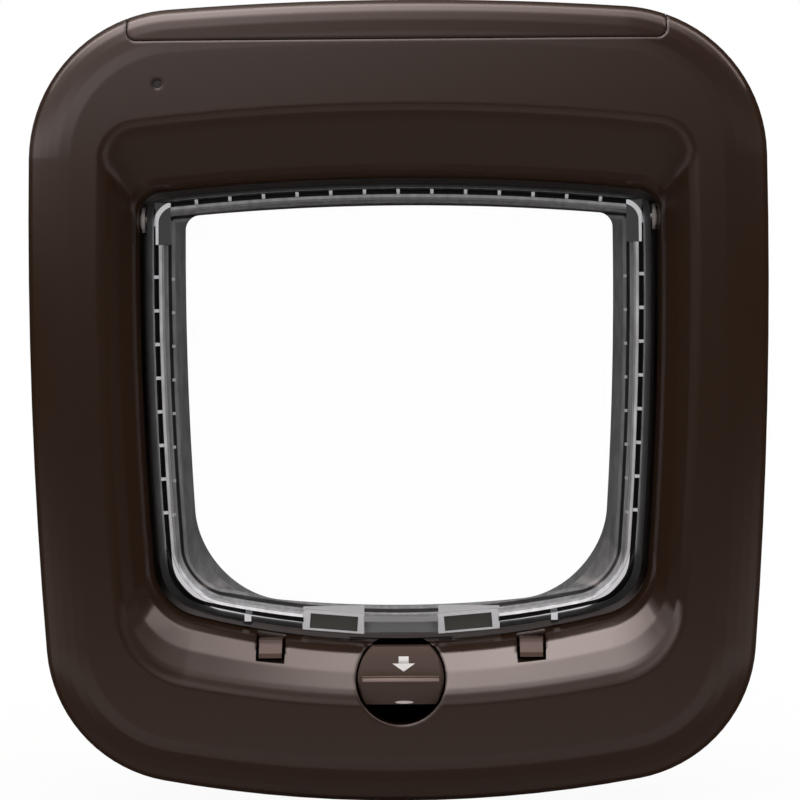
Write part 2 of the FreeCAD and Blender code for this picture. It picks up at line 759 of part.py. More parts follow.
def build_outer_frame():
    """The weather-side frame with the sleeve that slides over the inner tunnel."""
    form = new_body("outer_form")
    pad(form, outline_sketch(form, "outer_outline", "frame", "", "- door_thickness"),
        "outer_depth - outer_crown_drop", away=True)
    crown(form, "- door_thickness - outer_depth + outer_crown_drop", True, "outer_crown_width",
          "outer_crown_drop")
    cavity = new_body("outer_cavity")
    pad(cavity, outline_sketch(cavity, "outer_cavity_outline", "frame", "- wall",
                               "- door_thickness"), "outer_depth - outer_face", away=True)
    over = THROAT + " + tunnel_wall + sleeve_gap"
    sleeve_start = "- door_thickness + sleeve_length"
    sleeve = passage("outer_sleeve", over + " + tunnel_wall", sleeve_start,
                     "sleeve_length + outer_depth - outer_face/2")
    opening = passage("outer_passage", over, sleeve_start, "sleeve_length + 2*outer_depth")
    added = [cut("outer_shell", form, cavity), sleeve]
    removed = [opening]
    for number, (sign, reach, height) in enumerate(FIXING_CORNERS, 1):
        added.append(cylinder(f"outer_boss_{number}", signed(sign, reach),
                              "door_thickness + outer_depth - outer_face/2", height,
                              "fixing_boss_radius", "outer_depth - outer_face/2"))
        removed.append(cylinder(f"outer_bore_{number}", signed(sign, reach),
                                "door_thickness + outer_depth", height,
                                "fixing_screw_radius + running_gap", "2*outer_depth"))
        removed.append(cylinder(f"outer_sink_{number}", signed(sign, reach),
                                "door_thickness + 2*outer_depth", height,
                                "fixing_head_radius + cap_gap",
                                "outer_depth + cap_thickness + fixing_head + slot_gap"))
    return finish(cut("outer_frame_part", fuse("outer_added", *added), *removed), "outer_frame")


def build_screws():
    """Screws that close the housing, the long ones through the door, and their caps."""
    short, long, caps = [], [], []
    for number, (sign, reach, height) in enumerate(SCREW_CORNERS, 1):
        head = cylinder(f"housing_head_{number}", signed(sign, reach), "", height,
                        "housing_head_radius", "housing_head")
        shank = cylinder(f"housing_shank_{number}", signed(sign, reach), "- housing_head", height,
                         "housing_screw_radius", "housing_screw_length")
        short.append(fuse(f"housing_screw_{number}", head, shank))
    seat = "door_thickness + outer_depth - cap_thickness - fixing_head - slot_gap"
    for number, (sign, reach, height) in enumerate(FIXING_CORNERS, 1):
        head = cylinder(f"fixing_head_{number}", signed(sign, reach), seat + " + fixing_head",
                        height, "fixing_head_radius", "fixing_head")
        shank = cylinder(f"fixing_shank_{number}", signed(sign, reach), seat, height,
                         "fixing_screw_radius", seat + " + fixing_engagement")
        long.append(fuse(f"fixing_screw_{number}", head, shank))
        caps.append(cylinder(f"screw_cap_{number}", signed(sign, reach),
                             "door_thickness + outer_depth", height, "fixing_head_radius",
                             "cap_thickness"))
    finish(group("housing_screw_group", *short), "housing_screws")
    finish(group("fixing_screw_group", *long), "fixing_screws")
    finish(group("screw_cap_group", *caps), "screw_caps")


def flap_tray():
    """The flap's moulding: a rim with a channel, an inner rail and a dished window."""
    tray = new_body("flap_tray")
    rim = outline_sketch(tray, "flap_rim", "flap", "", PIVOT_BACK)
    pad(tray, rim, "flap_thickness")
    back_rim = outline_sketch(tray, "dish_outer", "rail", "- rail_width", PIVOT_BACK)
    back_floor = outline_sketch(tray, "dish_back", "window", "+ dish_wall/2",
                                PIVOT_FRONT + " - dish_depth - window_thickness")
    loft(tray, "AdditiveLoft", back_rim, back_floor)
    return tray


def build_flap():
    channel = new_body("channel")
    groove = outline_sketch(channel, "groove_outline", "groove", "", PIVOT_BACK + " + channel_floor")
    pad(channel, groove, "flap_thickness")
    core = new_body("channel_core")
    pad(core, outline_sketch(core, "rail_outline", "rail", "", PIVOT_BACK), "2*flap_thickness")
    dish = new_body("dish")
    mouth = outline_sketch(dish, "dish_mouth", "rail", "- rail_width - dish_ledge",
                           PIVOT_FRONT + " - dish_ledge_depth")
    floor = outline_sketch(dish, "window_outline", "window", "", PIVOT_FRONT + " - dish_depth")
    loft(dish, "AdditiveLoft", mouth, floor)
    entry = new_body("dish_entry")
    pad(entry, outline_sketch(entry, "ledge_outline", "rail", "- rail_width",
                              PIVOT_FRONT + " - dish_ledge_depth"), "flap_thickness")
    moulding = cut("flap_open", flap_tray(), cut("channel_ring", channel, core), dish, entry)

    front = amount(PIVOT_FRONT)
    size = SIZES
    bottom_centre = (0.0, size["flap_bottom_radius"] - size["flap_bottom"])
    notch = box("lock_notch", "- notch_half_width", "- 2*pivot_depth", "- flap_bottom - wall",
                "2*notch_half_width", "2*pivot_depth", "notch_height + wall")
    added = []
    pockets = []
    magnets = {}
    radius = size["flap_bottom_radius"]
    for side, sign in SIDES:
        angle = -math.pi / 2 + sign * math.asin(size["magnet_spacing"] / radius)
        outer = radius - size["magnet_edge"]
        inner = outer - size["magnet_height"]
        added.append(radial_box(side + "_magnet_frame", bottom_centre, angle,
                                inner - size["magnet_roof"], radius,
                                size["magnet_width"] + 2 * size["magnet_frame"],
                                front, size["flap_thickness"]))
        gap = size["magnet_gap"]
        pockets.append(radial_box(side + "_magnet_pocket", bottom_centre, angle, inner - gap,
                                  outer + gap, size["magnet_width"] + 2 * gap,
                                  front + size["magnet_recess"],
                                  size["magnet_depth"] + 2 * size["magnet_recess"]))
        magnets[side] = radial_box(side + "_magnet", bottom_centre, angle, inner, outer,
                                   size["magnet_width"], front - size["magnet_recess"],
                                   size["magnet_depth"])
        angle = -math.pi / 2 + sign * math.asin(size["pile_stop_reach"] / radius)
        added.append(radial_box(side + "_pile_stop", bottom_centre, angle,
                                radius - size["pile_stop_root"],
                                radius + size["pile_stop_height"], size["pile_stop_width"],
                                front, size["flap_thickness"]))
        added.append(side_box(side + "_hinge_block", sign, "hinge_block_inner",
                              negated(PIVOT_FRONT), "pivot_height - hinge_block_below",
                              "hinge_block_width", "flap_thickness",
                              "hinge_block_below + hinge_block_above"))
        lug_start = "hinge_block_inner" if sign > 0 else "groove_half_width"
        added.append(cylinder(side + "_hinge_lug", signed(sign, lug_start), "- pivot_depth",
                              "pivot_height", "hinge_lug_radius",
                              "groove_half_width - hinge_block_inner", ALONG_X))
        pin_start = "flap_half_width - pin_insertion" if sign > 0 else "2*flap_half_width"
        pockets.append(cylinder(side + "_pin_socket", signed(sign, pin_start), "- pivot_depth",
                                "pivot_height", "pin_radius",
                                "flap_half_width + pin_insertion", ALONG_X))
    added.append(box("lock_web_plate", "- notch_half_width - magnet_frame/2",
                     "- pivot_depth - lock_web/2", "- flap_bottom + slot_gap",
                     "2*notch_half_width + magnet_frame", "lock_web", "notch_height + rail_width"))
    opened = cut("flap_notched", moulding, notch)
    added += channel_ribs(front)
    finish(cut("flap_part", fuse("flap_added", opened, *added), *pockets), "flap")
    for side, _ in SIDES:
        finish(magnets[side], "flap_magnet_" + side)


def channel_ribs(front):
    """Small ribs that bridge the channel, evenly spaced along the top and down both sides."""
    size = SIZES
    overlap = size["rib_overlap"]
    top_centre = (0.0, size["flap_top"] - size["flap_top_radius"])
    inner = size["flap_top_radius"] - (size["flap_top"] - size["rail_top"]) - overlap
    outer = size["flap_top_radius"] - (size["flap_top"] - size["groove_top"]) + overlap
    depth = size["flap_thickness"] - size["channel_floor"] - size["rib_drop"] + overlap
    ribs = []
    for number in range(size["top_rib_count"]):
        step = (number - (size["top_rib_count"] - 1) / 2) * size["rib_pitch"]
        angle = math.pi / 2 - step / size["flap_top_radius"]
        ribs.append(radial_box(f"top_rib_{number + 1}", top_centre, angle, inner, outer,
                               size["rib_thickness"], front - size["rib_drop"], depth))
    reach = size["flap_side_radius"]
    inner = reach - (size["flap_half_width"] - size["rail_half_width"]) - overlap
    outer = reach - (size["flap_half_width"] - size["groove_half_width"]) + overlap
    for side, sign in SIDES:
        centre = (sign * (size["flap_half_width"] - reach), size["flap_widest"])
        for number in range(size["side_rib_count"]):
            height = size["pivot_height"] - size["first_side_rib"] - number * size["rib_pitch"]
            rise = math.asin((height - size["flap_widest"]) / reach)
            angle = rise if sign > 0 else math.pi - rise
            ribs.append(radial_box(f"{side}_rib_{number + 1}", centre, angle, inner, outer,
                                   size["rib_thickness"], front - size["rib_drop"], depth))
    return ribs


def build_hinges():
    for side, sign in SIDES:
        inner = "flap_half_width - pin_insertion"
        start = inner if sign > 0 else inner + " + pin_length"
        finish(cylinder(side + "_pin", signed(sign, start), "- pivot_depth", "pivot_height",
                        "pin_radius", "pin_length", ALONG_X), "hinge_pin_" + side)
        inner = "flap_half_width + swing_gap - bush_seat_gap - bush_flange"
        start = inner if sign > 0 else inner + " + bush_flange"
        flange = cylinder(side + "_bush_flange", signed(sign, start), "- pivot_depth",
                          "pivot_height", "bush_flange_radius", "bush_flange", ALONG_X)
        start = inner if sign > 0 else inner + " + bush_length"
        sleeve = cylinder(side + "_bush_sleeve", signed(sign, start), "- pivot_depth",
                          "pivot_height", "bush_radius", "bush_length", ALONG_X)
        start = "flap_half_width" if sign > 0 else "2*flap_half_width"
        bore = cylinder(side + "_bush_bore", signed(sign, start), "- pivot_depth",
                        "pivot_height", "pin_radius + running_gap", "flap_half_width", ALONG_X)
        bush = fuse(side + "_bush_blank", flange, sleeve)
        finish(cut(side + "_bush", bush, bore), "pivot_bush_" + side)


def build_piles():
    """Soft pile on the flap's edge: along the top, and down both sides round to the stops."""
    outer = new_body("pile_outer")
    pad(outer, outline_sketch(outer, "pile_outline", "flap", "+ pile_height",
                              "pivot_depth - pile_thickness/2"), "pile_thickness")
    inner = new_body("pile_inner")
    pad(inner, outline_sketch(inner, "pile_root", "flap", "", "pivot_depth - pile_thickness"),
        "2*pile_thickness")
    ring = cut("pile_ring", outer, inner)
    top = box("top_pile_region", "- 2*flap_half_width", "- 2*pivot_depth",
              "pivot_height + pile_below_hinge", "2*flap_half_width + 2*flap_half_width",
              "2*pivot_depth", "flap_top")
    finish(common("top_pile", ring, top), "brush_top")
    for side, sign in SIDES:
        region = side_box(side + "_pile_region", sign, "pile_stop_reach + pile_stop_width",
                          "- 2*pivot_depth", "- 2*flap_bottom", "flap_half_width",
                          "2*pivot_depth", "2*flap_bottom + pivot_height - pile_below_hinge")
        finish(common(side + "_pile", ring, region), "brush_" + side)


def knob_disc():
    """The knob's disc, cut by two flats, as a fully constrained sketch and a pad."""
    body = new_body("knob_disc")
    sketch = plane_sketch(body, "knob_outline", "knob_back_depth")
    radius = amount("knob_hole_radius - knob_gap")
    top = SIZES["knob_flat_top"]
    bottom = SIZES["knob_flat_bottom"]
    middle = Vector(0, -amount(LOCK_DROP))
    high = math.asin(top / radius)
    low = -math.asin(bottom / radius)
    axis = Vector(0, 0, 1)
    sketch.addGeometry(Part.ArcOfCircle(Part.Circle(middle, axis, radius), low, high), False)
    sketch.addGeometry(Part.ArcOfCircle(Part.Circle(middle, axis, radius), math.pi - high,
                                        math.pi - low), False)
    corners = [middle + Vector(radius * math.cos(turn), radius * math.sin(turn))
               for turn in (high, math.pi - high, math.pi - low, low)]
    sketch.addGeometry(Part.LineSegment(corners[0], corners[1]), False)
    sketch.addGeometry(Part.LineSegment(corners[2], corners[3]), False)
    for first, end, second, start in ((0, 2, 2, 1), (2, 2, 1, 1), (1, 2, 3, 1), (3, 2, 0, 1)):
        sketch.addConstraint(Sketcher.Constraint("Coincident", first, end, second, start))
    sketch.addConstraint(Sketcher.Constraint("Coincident", 0, 3, 1, 3))
    sketch.addConstraint(Sketcher.Constraint("PointOnObject", 0, 3, -2))
    sketch.addConstraint(Sketcher.Constraint("Horizontal", 2))
    sketch.addConstraint(Sketcher.Constraint("Horizontal", 3))
    dimension(sketch, "DistanceY", 0, 3, -1, 1, text=LOCK_DROP)
    dimension(sketch, "Radius", 0, text="knob_hole_radius - knob_gap")
    dimension(sketch, "DistanceY", 0, 3, 2, 1, text="knob_flat_top")
    dimension(sketch, "DistanceY", 3, 1, 0, 3, text="knob_flat_bottom")
    disc = pad(body, sketch, "knob_front_depth - knob_back_depth")
    bevel = add_feature(body, "Chamfer", "knob_rim")
    bevel.Base = (disc, edges_at(disc, -SIZES["knob_front_depth"]))
    bevel.Size = SIZES["knob_rim_chamfer"]
    bind(bevel, "Size", "knob_rim_chamfer")
    doc.recompute()
    return body


def build_lock():
    barrel = cylinder("knob_crown", "- knob_hole_radius", "- knob_front_depth + knob_crown_radius",
                      negated(LOCK_DROP), "knob_crown_radius", "2*knob_hole_radius", ALONG_X)
    disc = common("knob_crowned", knob_disc(), barrel)
    grip = box("knob_grip", "- grip_length/2", "- knob_front_depth - grip_height",
               negated(LOCK_DROP) + " - grip_width/2", "grip_length", "2*grip_height", "grip_width")
    socket = cylinder("knob_socket", "", "- knob_back_depth", negated(LOCK_DROP),
                      "spindle_radius", "spindle_socket")
    finish(cut("knob_part", fuse("knob_gripped", disc, grip), socket), "lock_knob")
    rear = "plate_thickness + wall/2"
    finish(cylinder("spindle", "", negated(rear), negated(LOCK_DROP), "spindle_radius",
                    "knob_back_depth + spindle_socket - plate_thickness - wall/2"), "lock_spindle")
    for node, front, middle in (("inward_cam", CAM_FRONT, SIZES["cam_lead"] - 180),
                                ("outward_cam", REAR_CAM_FRONT, -SIZES["cam_lead"])):
        start = middle - SIZES["cam_angle"] / 2
        turn = TOWARDS_ROOM.multiply(Rotation(Vector(0, 0, 1), start))
        back = negated(front + " - cam_thickness")
        sector = cylinder(node + "_sector", "", back, negated(LOCK_DROP), CAM_RADIUS,
                          "cam_thickness", turn)
        sector.Angle = SIZES["cam_angle"]
        bind(sector, "Angle", "cam_angle")
        hub = cylinder(node + "_hub", "", back, negated(LOCK_DROP), "cam_hub_radius", "cam_thickness")
        bore = cylinder(node + "_bore", "", "", negated(LOCK_DROP), "spindle_radius", "frame_depth")
        finish(cut(node + "_part", fuse(node + "_blank", sector, hub), bore), node)


def build_latch():
    front = negated(PAWL_BACK + " + latch_depth")
    arms = [side_box(side + "_pawl", sign, "latch_spacing - latch_width/2", front,
                     negated(BAR_BOTTOM), "latch_width", "latch_depth",
                     BAR_BOTTOM + " " + negated(LATCH_TOP)) for side, sign in SIDES]
    bar = box("latch_bar", "- latch_spacing - latch_width/2", front, negated(BAR_BOTTOM),
              "2*latch_spacing + latch_width", "latch_depth", "latch_bar_height")
    finish(fuse("latch_slide_part", bar, *arms), "latch_slide")
    depth = negated(PAWL_BACK + " + latch_depth/2")
    upright = Rotation()
    lowered = SOLENOID_BOTTOM + " - solenoid_height + tray_wall + latch_travel + slot_gap"
    finish(cylinder("plunger", "solenoid_centre", depth, negated(BAR_BOTTOM) + " + latch_bar_height",
                    "plunger_radius", f"{BAR_BOTTOM} - latch_bar_height {negated(lowered)}",
                    upright), "solenoid_plunger")
    coil = box("solenoid_body", "solenoid_centre - solenoid_width/2",
               "- frame_depth + front_wall + solenoid_seat_depth", negated(SOLENOID_BOTTOM),
               "solenoid_width", "solenoid_thickness", "solenoid_height")
    bore = cylinder("solenoid_bore", "solenoid_centre", depth, negated(SOLENOID_BOTTOM),
                    "plunger_radius + plunger_gap", "solenoid_height - tray_wall", upright)
    finish(cut("solenoid_part", coil, bore), "latch_solenoid")


def build_sill_magnets():
    for side, sign in SIDES:
        finish(side_box(side + "_sill_magnet", sign, "sill_magnet_inner",
                        "- pivot_depth - sill_magnet_depth/2",
                        "- flap_bottom - swing_gap - wall + sill_magnet_lift - sill_magnet_height",
                        "sill_magnet_width",
                        "sill_magnet_depth", "sill_magnet_height"), "sill_magnet_" + side)


def build_battery_bay():
    centre = "plate_thickness + tray_wall + cell_gap + cell_radius"
    low_row = CELL_ROW + " - cell_pitch"
    half = "cell_length + cell_tip + cell_gap + contact_thickness"
    outer = box("tray_outer", negated(half + " + tray_wall"),
                negated(centre + " + cell_radius + cell_gap + tray_wall"),
                low_row + " - cell_radius - cell_gap - tray_wall",
                "2*cell_length + 2*cell_tip + 2*cell_gap + 2*contact_thickness + 2*tray_wall",
                "2*cell_radius + 2*cell_gap + 2*tray_wall",
                "cell_pitch + cell_radius + cell_gap + tray_wall")
    inner = box("tray_inner", negated(half), negated(centre + " + cell_radius + cell_gap"),
                low_row + " - cell_radius - cell_gap",
                "2*cell_length + 2*cell_tip + 2*cell_gap + 2*contact_thickness",
                "2*cell_radius + 2*cell_gap", "2*cell_pitch")
    finish(cut("battery_tray_part", outer, inner), "battery_tray")
    plates = []
    for side, sign in SIDES:
        plates.append(side_box(side + "_contact", sign, "cell_length + cell_tip + cell_gap",
                               negated(centre + " + cell_radius/2"),
                               low_row + " - cell_radius/2", "contact_thickness",
                               "cell_radius", "cell_pitch + cell_radius"))
        for row, height in (("lower", low_row), ("upper", CELL_ROW)):
            start = "cell_gap/2" if sign > 0 else "cell_gap/2 + cell_length"
            can = cylinder(f"{side}_{row}_can", signed(sign, start), negated(centre), height,
                           "cell_radius", "cell_length", ALONG_X)
            start = "cell_gap/2 + cell_length"
            start = start if sign > 0 else start + " + cell_tip"
            tip = cylinder(f"{side}_{row}_tip", signed(sign, start), negated(centre), height,
                           "cell_tip_radius", "cell_tip", ALONG_X)
            finish(fuse(f"{side}_{row}_cell", can, tip), f"cell_{row}_{side}")
    finish(group("contact_group", *plates), "battery_contacts")


def build_electronics():
    board = box("board", negated(BOARD_OUTER), "- board_front", BOARD_BOTTOM,
                f"{BOARD_OUTER} {negated(BOARD_INNER)}", "board_thickness", "board_height")
    switch = box("learn_switch", negated(BUTTON_REACH + " + button_radius"),
                 "- board_front + board_thickness", BOARD_TOP + " - switch_height", "2*button_radius",
                 "2*board_front - 2*button_depth - 2*board_thickness", "switch_height")
    socket = cylinder("switch_socket", negated(BUTTON_REACH), "- button_depth",
                      BOARD_TOP + " - switch_height + tray_wall/2",
                      "button_stem_radius + running_gap", "switch_height", Rotation())
    chips = [box(name, negated(reach), "- board_front + board_thickness",
                 BOARD_BOTTOM + " + board_post/2", width, "chip_height", width)
             for name, reach, width in (
                 ("control_chip", BOARD_OUTER + " - 3*board_post", "button_radius + board_post"),
                 ("radio_chip", BOARD_OUTER + " - board_post/2", "board_post"))]
    finish(cut("circuit_board_part", fuse("board_loaded", board, switch, *chips), socket),
           "circuit_board")
    cap = cylinder("learn_cap", negated(BUTTON_REACH), "- button_depth",
                   BOARD_TOP + " + button_travel + slot_gap/2", "button_radius",
                   "button_height", Rotation())
    stem = cylinder("learn_stem", negated(BUTTON_REACH), "- button_depth",
                    BOARD_TOP + " - switch_height/2", "button_stem_radius",
                    "switch_height/2 + button_travel + button_height/2", Rotation())
    finish(fuse("learn_button_part", cap, stem), "learn_button")
    finish(cylinder("led_lens", negated(LED_REACH), "- board_front", LED_HEIGHT,
                    "led_hole_radius - led_gap", "frame_depth - board_front - led_recess"),
           "status_led")
    outer = passage("coil_outer", THROAT + " + wall + coil_offset + coil_width",
                    "plate_thickness + coil_length", "coil_length")
    inner = passage("coil_inner", THROAT + " + wall + coil_offset",
                    "plate_thickness + 2*coil_length", "3*coil_length")
    finish(cut("antenna_coil_part", outer, inner), "antenna_coil")


def check_and_export():
    """Stop on any failed object or invalid shape, then write one file for each piece."""
    doc.recompute()
    failed = [item.Name for item in doc.Objects if {"Invalid", "Error"} & set(item.State)]
    if failed:
        raise RuntimeError("failed objects: " + ", ".join(failed))
    os.makedirs("parts", exist_ok=True)
    for piece in pieces:
        if piece.Shape.isNull() or not piece.Shape.isValid():
            raise RuntimeError(piece.Label + " has no valid shape")
        print(f"{piece.Label}: {len(piece.Shape.Solids)} solids, {piece.Shape.Volume:.1f} mm3")
        piece.Shape.exportStep(f"parts/{piece.Label}.step")


form = housing_form()
cavity = housing_cavity()
build_front_frame(form, cavity)
build_battery_cover(form, cavity)
build_back_plate()
build_outer_frame()
build_screws()
build_flap()
build_hinges()
build_piles()
build_lock()
build_latch()
build_sill_magnets()
build_battery_bay()
build_electronics()
check_and_export()
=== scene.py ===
import json
import math

import bpy
import numpy as np
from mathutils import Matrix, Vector


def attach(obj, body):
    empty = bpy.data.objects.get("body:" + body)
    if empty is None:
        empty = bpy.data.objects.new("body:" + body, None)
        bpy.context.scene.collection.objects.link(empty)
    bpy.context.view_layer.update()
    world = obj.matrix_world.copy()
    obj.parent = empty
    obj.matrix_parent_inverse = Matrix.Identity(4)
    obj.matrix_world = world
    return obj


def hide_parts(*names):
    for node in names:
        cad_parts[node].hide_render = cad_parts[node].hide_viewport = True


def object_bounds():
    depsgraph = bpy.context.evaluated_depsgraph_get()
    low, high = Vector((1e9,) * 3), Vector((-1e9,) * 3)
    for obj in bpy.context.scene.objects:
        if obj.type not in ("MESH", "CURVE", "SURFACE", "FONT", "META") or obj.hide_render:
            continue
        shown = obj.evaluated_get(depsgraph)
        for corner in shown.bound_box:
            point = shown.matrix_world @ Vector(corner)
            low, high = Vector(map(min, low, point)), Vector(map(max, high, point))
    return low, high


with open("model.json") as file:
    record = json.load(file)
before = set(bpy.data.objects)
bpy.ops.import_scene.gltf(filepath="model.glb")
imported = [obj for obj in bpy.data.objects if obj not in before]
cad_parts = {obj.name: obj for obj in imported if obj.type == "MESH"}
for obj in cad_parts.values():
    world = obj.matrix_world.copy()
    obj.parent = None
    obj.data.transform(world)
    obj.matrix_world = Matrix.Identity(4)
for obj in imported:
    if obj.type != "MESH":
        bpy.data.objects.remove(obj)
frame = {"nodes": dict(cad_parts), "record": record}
cad_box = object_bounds()
nodes = frame["nodes"]

# A cat flap seen from inside the room. The room side of the door is at negative Y, and +Z is up.
# The camera, the lamp and the materials' coordinates are in metres. Pieces, outlines and the
# marks on the flap are given in millimetres.

MILLIMETRE = 0.001
WHITE = (1, 1, 1, 1)


# Nodes and meshes

def connect(tree, node, inputs):
    """Give a node's inputs their values, or link them where the value is a socket."""
    for key, value in inputs.items():
        if isinstance(value, bpy.types.NodeSocket):
            tree.links.new(value, node.inputs[key])
        else:
            node.inputs[key].default_value = value


def add(tree, kind, inputs=(), **settings):
    """A node with its settings, and its inputs given as values or as sockets to link."""
    node = tree.nodes.new(kind)
    for name, value in settings.items():
        setattr(node, name, value)
    connect(tree, node, dict(inputs))
    return node


def calculate(tree, operation, first, second=0.0):
    """One sum on two numbers, each a value or a socket."""
    return add(tree, "ShaderNodeMath", {0: first, 1: second}, operation=operation).outputs[0]


def carry(tree, value, source=(0.0, 1.0), target=(0.0, 1.0)):
    """A number carried from one range to another, and held at the ends of the second."""
    return add(tree, "ShaderNodeMapRange", {
        "Value": value, "From Min": source[0], "From Max": source[1],
        "To Min": target[0], "To Max": target[1]}).outputs[0]


def blend(tree, share, first, second):
    """A colour that goes from the first to the second with a share."""
    return add(tree, "ShaderNodeMix", {"Factor": share, "A": first, "B": second},
               data_type="RGBA").outputs["Result"]


def gradient(tree, value, stops):
    """A colour picked by a value from stops, each a place from 0 to 1 and a linear colour."""
    node = add(tree, "ShaderNodeValToRGB", {"Fac": value})
    ramp = node.color_ramp.elements
    ramp.remove(ramp[1])
    for number, (place, colour) in enumerate(stops):
        stop = ramp.new(place) if number else ramp[0]
        stop.position = place
        stop.color = colour
    return node.outputs["Color"]


def within(tree, value, centre, half):
    """1 where a value lies within a half width of a centre, else 0."""
    away = calculate(tree, "ABSOLUTE", calculate(tree, "SUBTRACT", value, centre))
    return calculate(tree, "LESS_THAN", away, half)


FLOAT = "NodeSocketFloat"
VECTOR = "NodeSocketVector"
COLOUR = "NodeSocketColor"


def new_group(name, inputs, outputs):
    """An empty shader group, with what its inputs give and what its outputs take."""
    group = bpy.data.node_groups.new(name, "ShaderNodeTree")
    for way, sockets in (("INPUT", inputs), ("OUTPUT", outputs)):
        for label, kind in sockets.items():
            group.interface.new_socket(label, in_out=way, socket_type=kind)
    return group, add(group, "NodeGroupInput").outputs, add(group, "NodeGroupOutput")


def new_piece(name, points, faces, material, smooth=True):
    """An object from an array of points in millimetres and lists of corners."""
    mesh = bpy.data.meshes.new(name)
    places = np.reshape(points, (-1, 3)) * MILLIMETRE
    mesh.from_pydata(places.tolist(), [], faces, shade_flat=not smooth)
    mesh.materials.append(material)
    piece = bpy.data.objects.new(name, mesh)
    bpy.context.scene.collection.objects.link(piece)
    return piece


def grid_points(x, y, z):
    """Points from three arrays, each stretched to the size of the grid."""
    return np.stack(np.broadcast_arrays(x, y, z), axis=-1)


def grid_faces(rows, columns, closed=False):
    """Corners of the quads of a grid of points. They face whoever sees the rows run downwards
    and the columns to the right, or both outwards and anticlockwise where the rows are closed."""
    width = columns if closed else columns - 1
    row, column = np.divmod(np.arange((rows - 1) * width), width)
    here = row * columns + column
    after = row * columns + (column + 1) % columns
    return np.stack([here, here + columns, after + columns, after], axis=1)


# Camera

HOUSING_FACE = -0.030
CAMERA_DISTANCE = 1.0
CAMERA_PLACE = (0.016, HOUSING_FACE - CAMERA_DISTANCE, 0.017)
CAMERA_AIM = (0.0003, HOUSING_FACE, 0.0)
CAMERA_LEAN = math.radians(0.4)
SENSOR_WIDTH = 36.0
PICTURE_WIDTH = 800
PIXEL = 0.3 * MILLIMETRE


def place_and_aim(name, data, place, aim):
    """The object of a camera or a lamp at a place, turned towards an aim."""
    thing = bpy.data.objects.new(name, data)
    thing.location = place
    thing.rotation_euler = (Vector(aim) - Vector(place)).to_track_quat("-Z", "Y").to_euler()
    bpy.context.scene.collection.objects.link(thing)
    return thing


def set_camera():
    """Long lens, nearly straight on, a little to the right and above, leaning as the photo does."""
    data = bpy.data.cameras.new("camera")
    data.sensor_width = SENSOR_WIDTH
    data.lens = SENSOR_WIDTH * CAMERA_DISTANCE / (PICTURE_WIDTH * PIXEL)
    data.clip_start = 0.05
    data.clip_end = 50.0
    camera = place_and_aim("camera", data, CAMERA_PLACE, CAMERA_AIM)
    camera.rotation_euler.rotate_axis("Z", -CAMERA_LEAN)
    bpy.context.scene.camera = camera


# Light, floor and white surroundings

LAMP_PLACE = (0.0, -0.15, 1.0)
LAMP_AIM = (0.0, -0.14, 0.0)
LAMP_SIZE = (3.4, 0.5)
LAMP_POWER = 19.0
WARM = (1.0, 0.83, 0.78)


def set_lamp():
    """One long soft lamp overhead, in front of the housing."""
    data = bpy.data.lights.new("overhead", "AREA")
    data.shape = "RECTANGLE"
    data.size, data.size_y = LAMP_SIZE
    data.energy = LAMP_POWER
    data.color = WARM
    place_and_aim("overhead", data, LAMP_PLACE, LAMP_AIM)


WORLD_LIGHT = 0.47
ROOM_LIGHT = 3.0
ROOM_TINT = (1.0, 0.87, 0.84, 1)
# Height of a direction, from straight down to straight up, and how bright a reflection finds it
ROOM_BANDS = [(-0.90, 0.08), (-0.50, 0.05), (-0.34, 0.05), (-0.22, 0.21), (-0.13, 0.21),
              (-0.07, 0.01), (0.0, 0.0), (0.05, 0.01), (0.09, 0.18), (0.18, 0.18), (0.34, 0.10),
              (0.60, 0.12), (0.85, 0.45), (0.98, 0.60)]
# From left to right the room's upper part, above these heights, goes from more to less light
SIDES = (-0.13, 0.13)
SIDE_SHARES = (2.6, -0.40)
UPPER_START = (0.03, 0.09)
# From the camera's side to the far side the light drops to a tenth
FAR_START = (-0.1, 0.2)
FAR_LIGHT = 0.1 * ROOM_LIGHT


def seen_plainly(tree, path):
    """1 for a ray from the camera, also one that went through clear plastic, else 0."""
    return calculate(tree, "MAXIMUM", path["Is Camera Ray"], path["Is Transmission Ray"])


def set_world():
    """White where the camera or clear plastic sees it, an even light for the diffuse part, and
    for reflections a room that is dark at the camera's height, pale above it and dim below,
    with its upper left brighter than its upper right and little light behind the object."""
    world = bpy.data.worlds.new("surroundings")
    world.use_nodes = True
    bpy.context.scene.world = world
    tree = world.node_tree
    direction = add(tree, "ShaderNodeTexCoord").outputs["Generated"]
    axes = add(tree, "ShaderNodeSeparateXYZ", {0: direction}).outputs
    bands = gradient(tree, carry(tree, axes["Z"], (-1.0, 1.0)),
                     [((1 + level) / 2, (light, light, light, 1)) for level, light in ROOM_BANDS])
    tilt = calculate(tree, "MULTIPLY", carry(tree, axes["X"], SIDES, SIDE_SHARES),
                     carry(tree, axes["Z"], UPPER_START))
    depth = carry(tree, axes["Y"], FAR_START, (ROOM_LIGHT, FAR_LIGHT))
    gain = calculate(tree, "MULTIPLY", calculate(tree, "ADD", tilt, 1.0), depth)
    glow = calculate(tree, "MULTIPLY", bands, gain)
    path = add(tree, "ShaderNodeLightPath").outputs
    room = carry(tree, path["Is Glossy Ray"], target=(WORLD_LIGHT, glow))
    connect(tree, tree.nodes["Background"], {
        "Color": blend(tree, path["Is Glossy Ray"], WHITE, ROOM_TINT),
        "Strength": carry(tree, seen_plainly(tree, path), target=(room, 1.0))})


FLOOR_HALF = 4000.0
FLOOR_DROP = 0.2
FLOOR_COLOUR = (0.82, 0.82, 0.82, 1)
# Between these distances from the object, in metres, the floor's own white takes over
FLOOR_FADE = (0.14, 0.45)
FLOOR_GLOW = (0.95, 1.0)


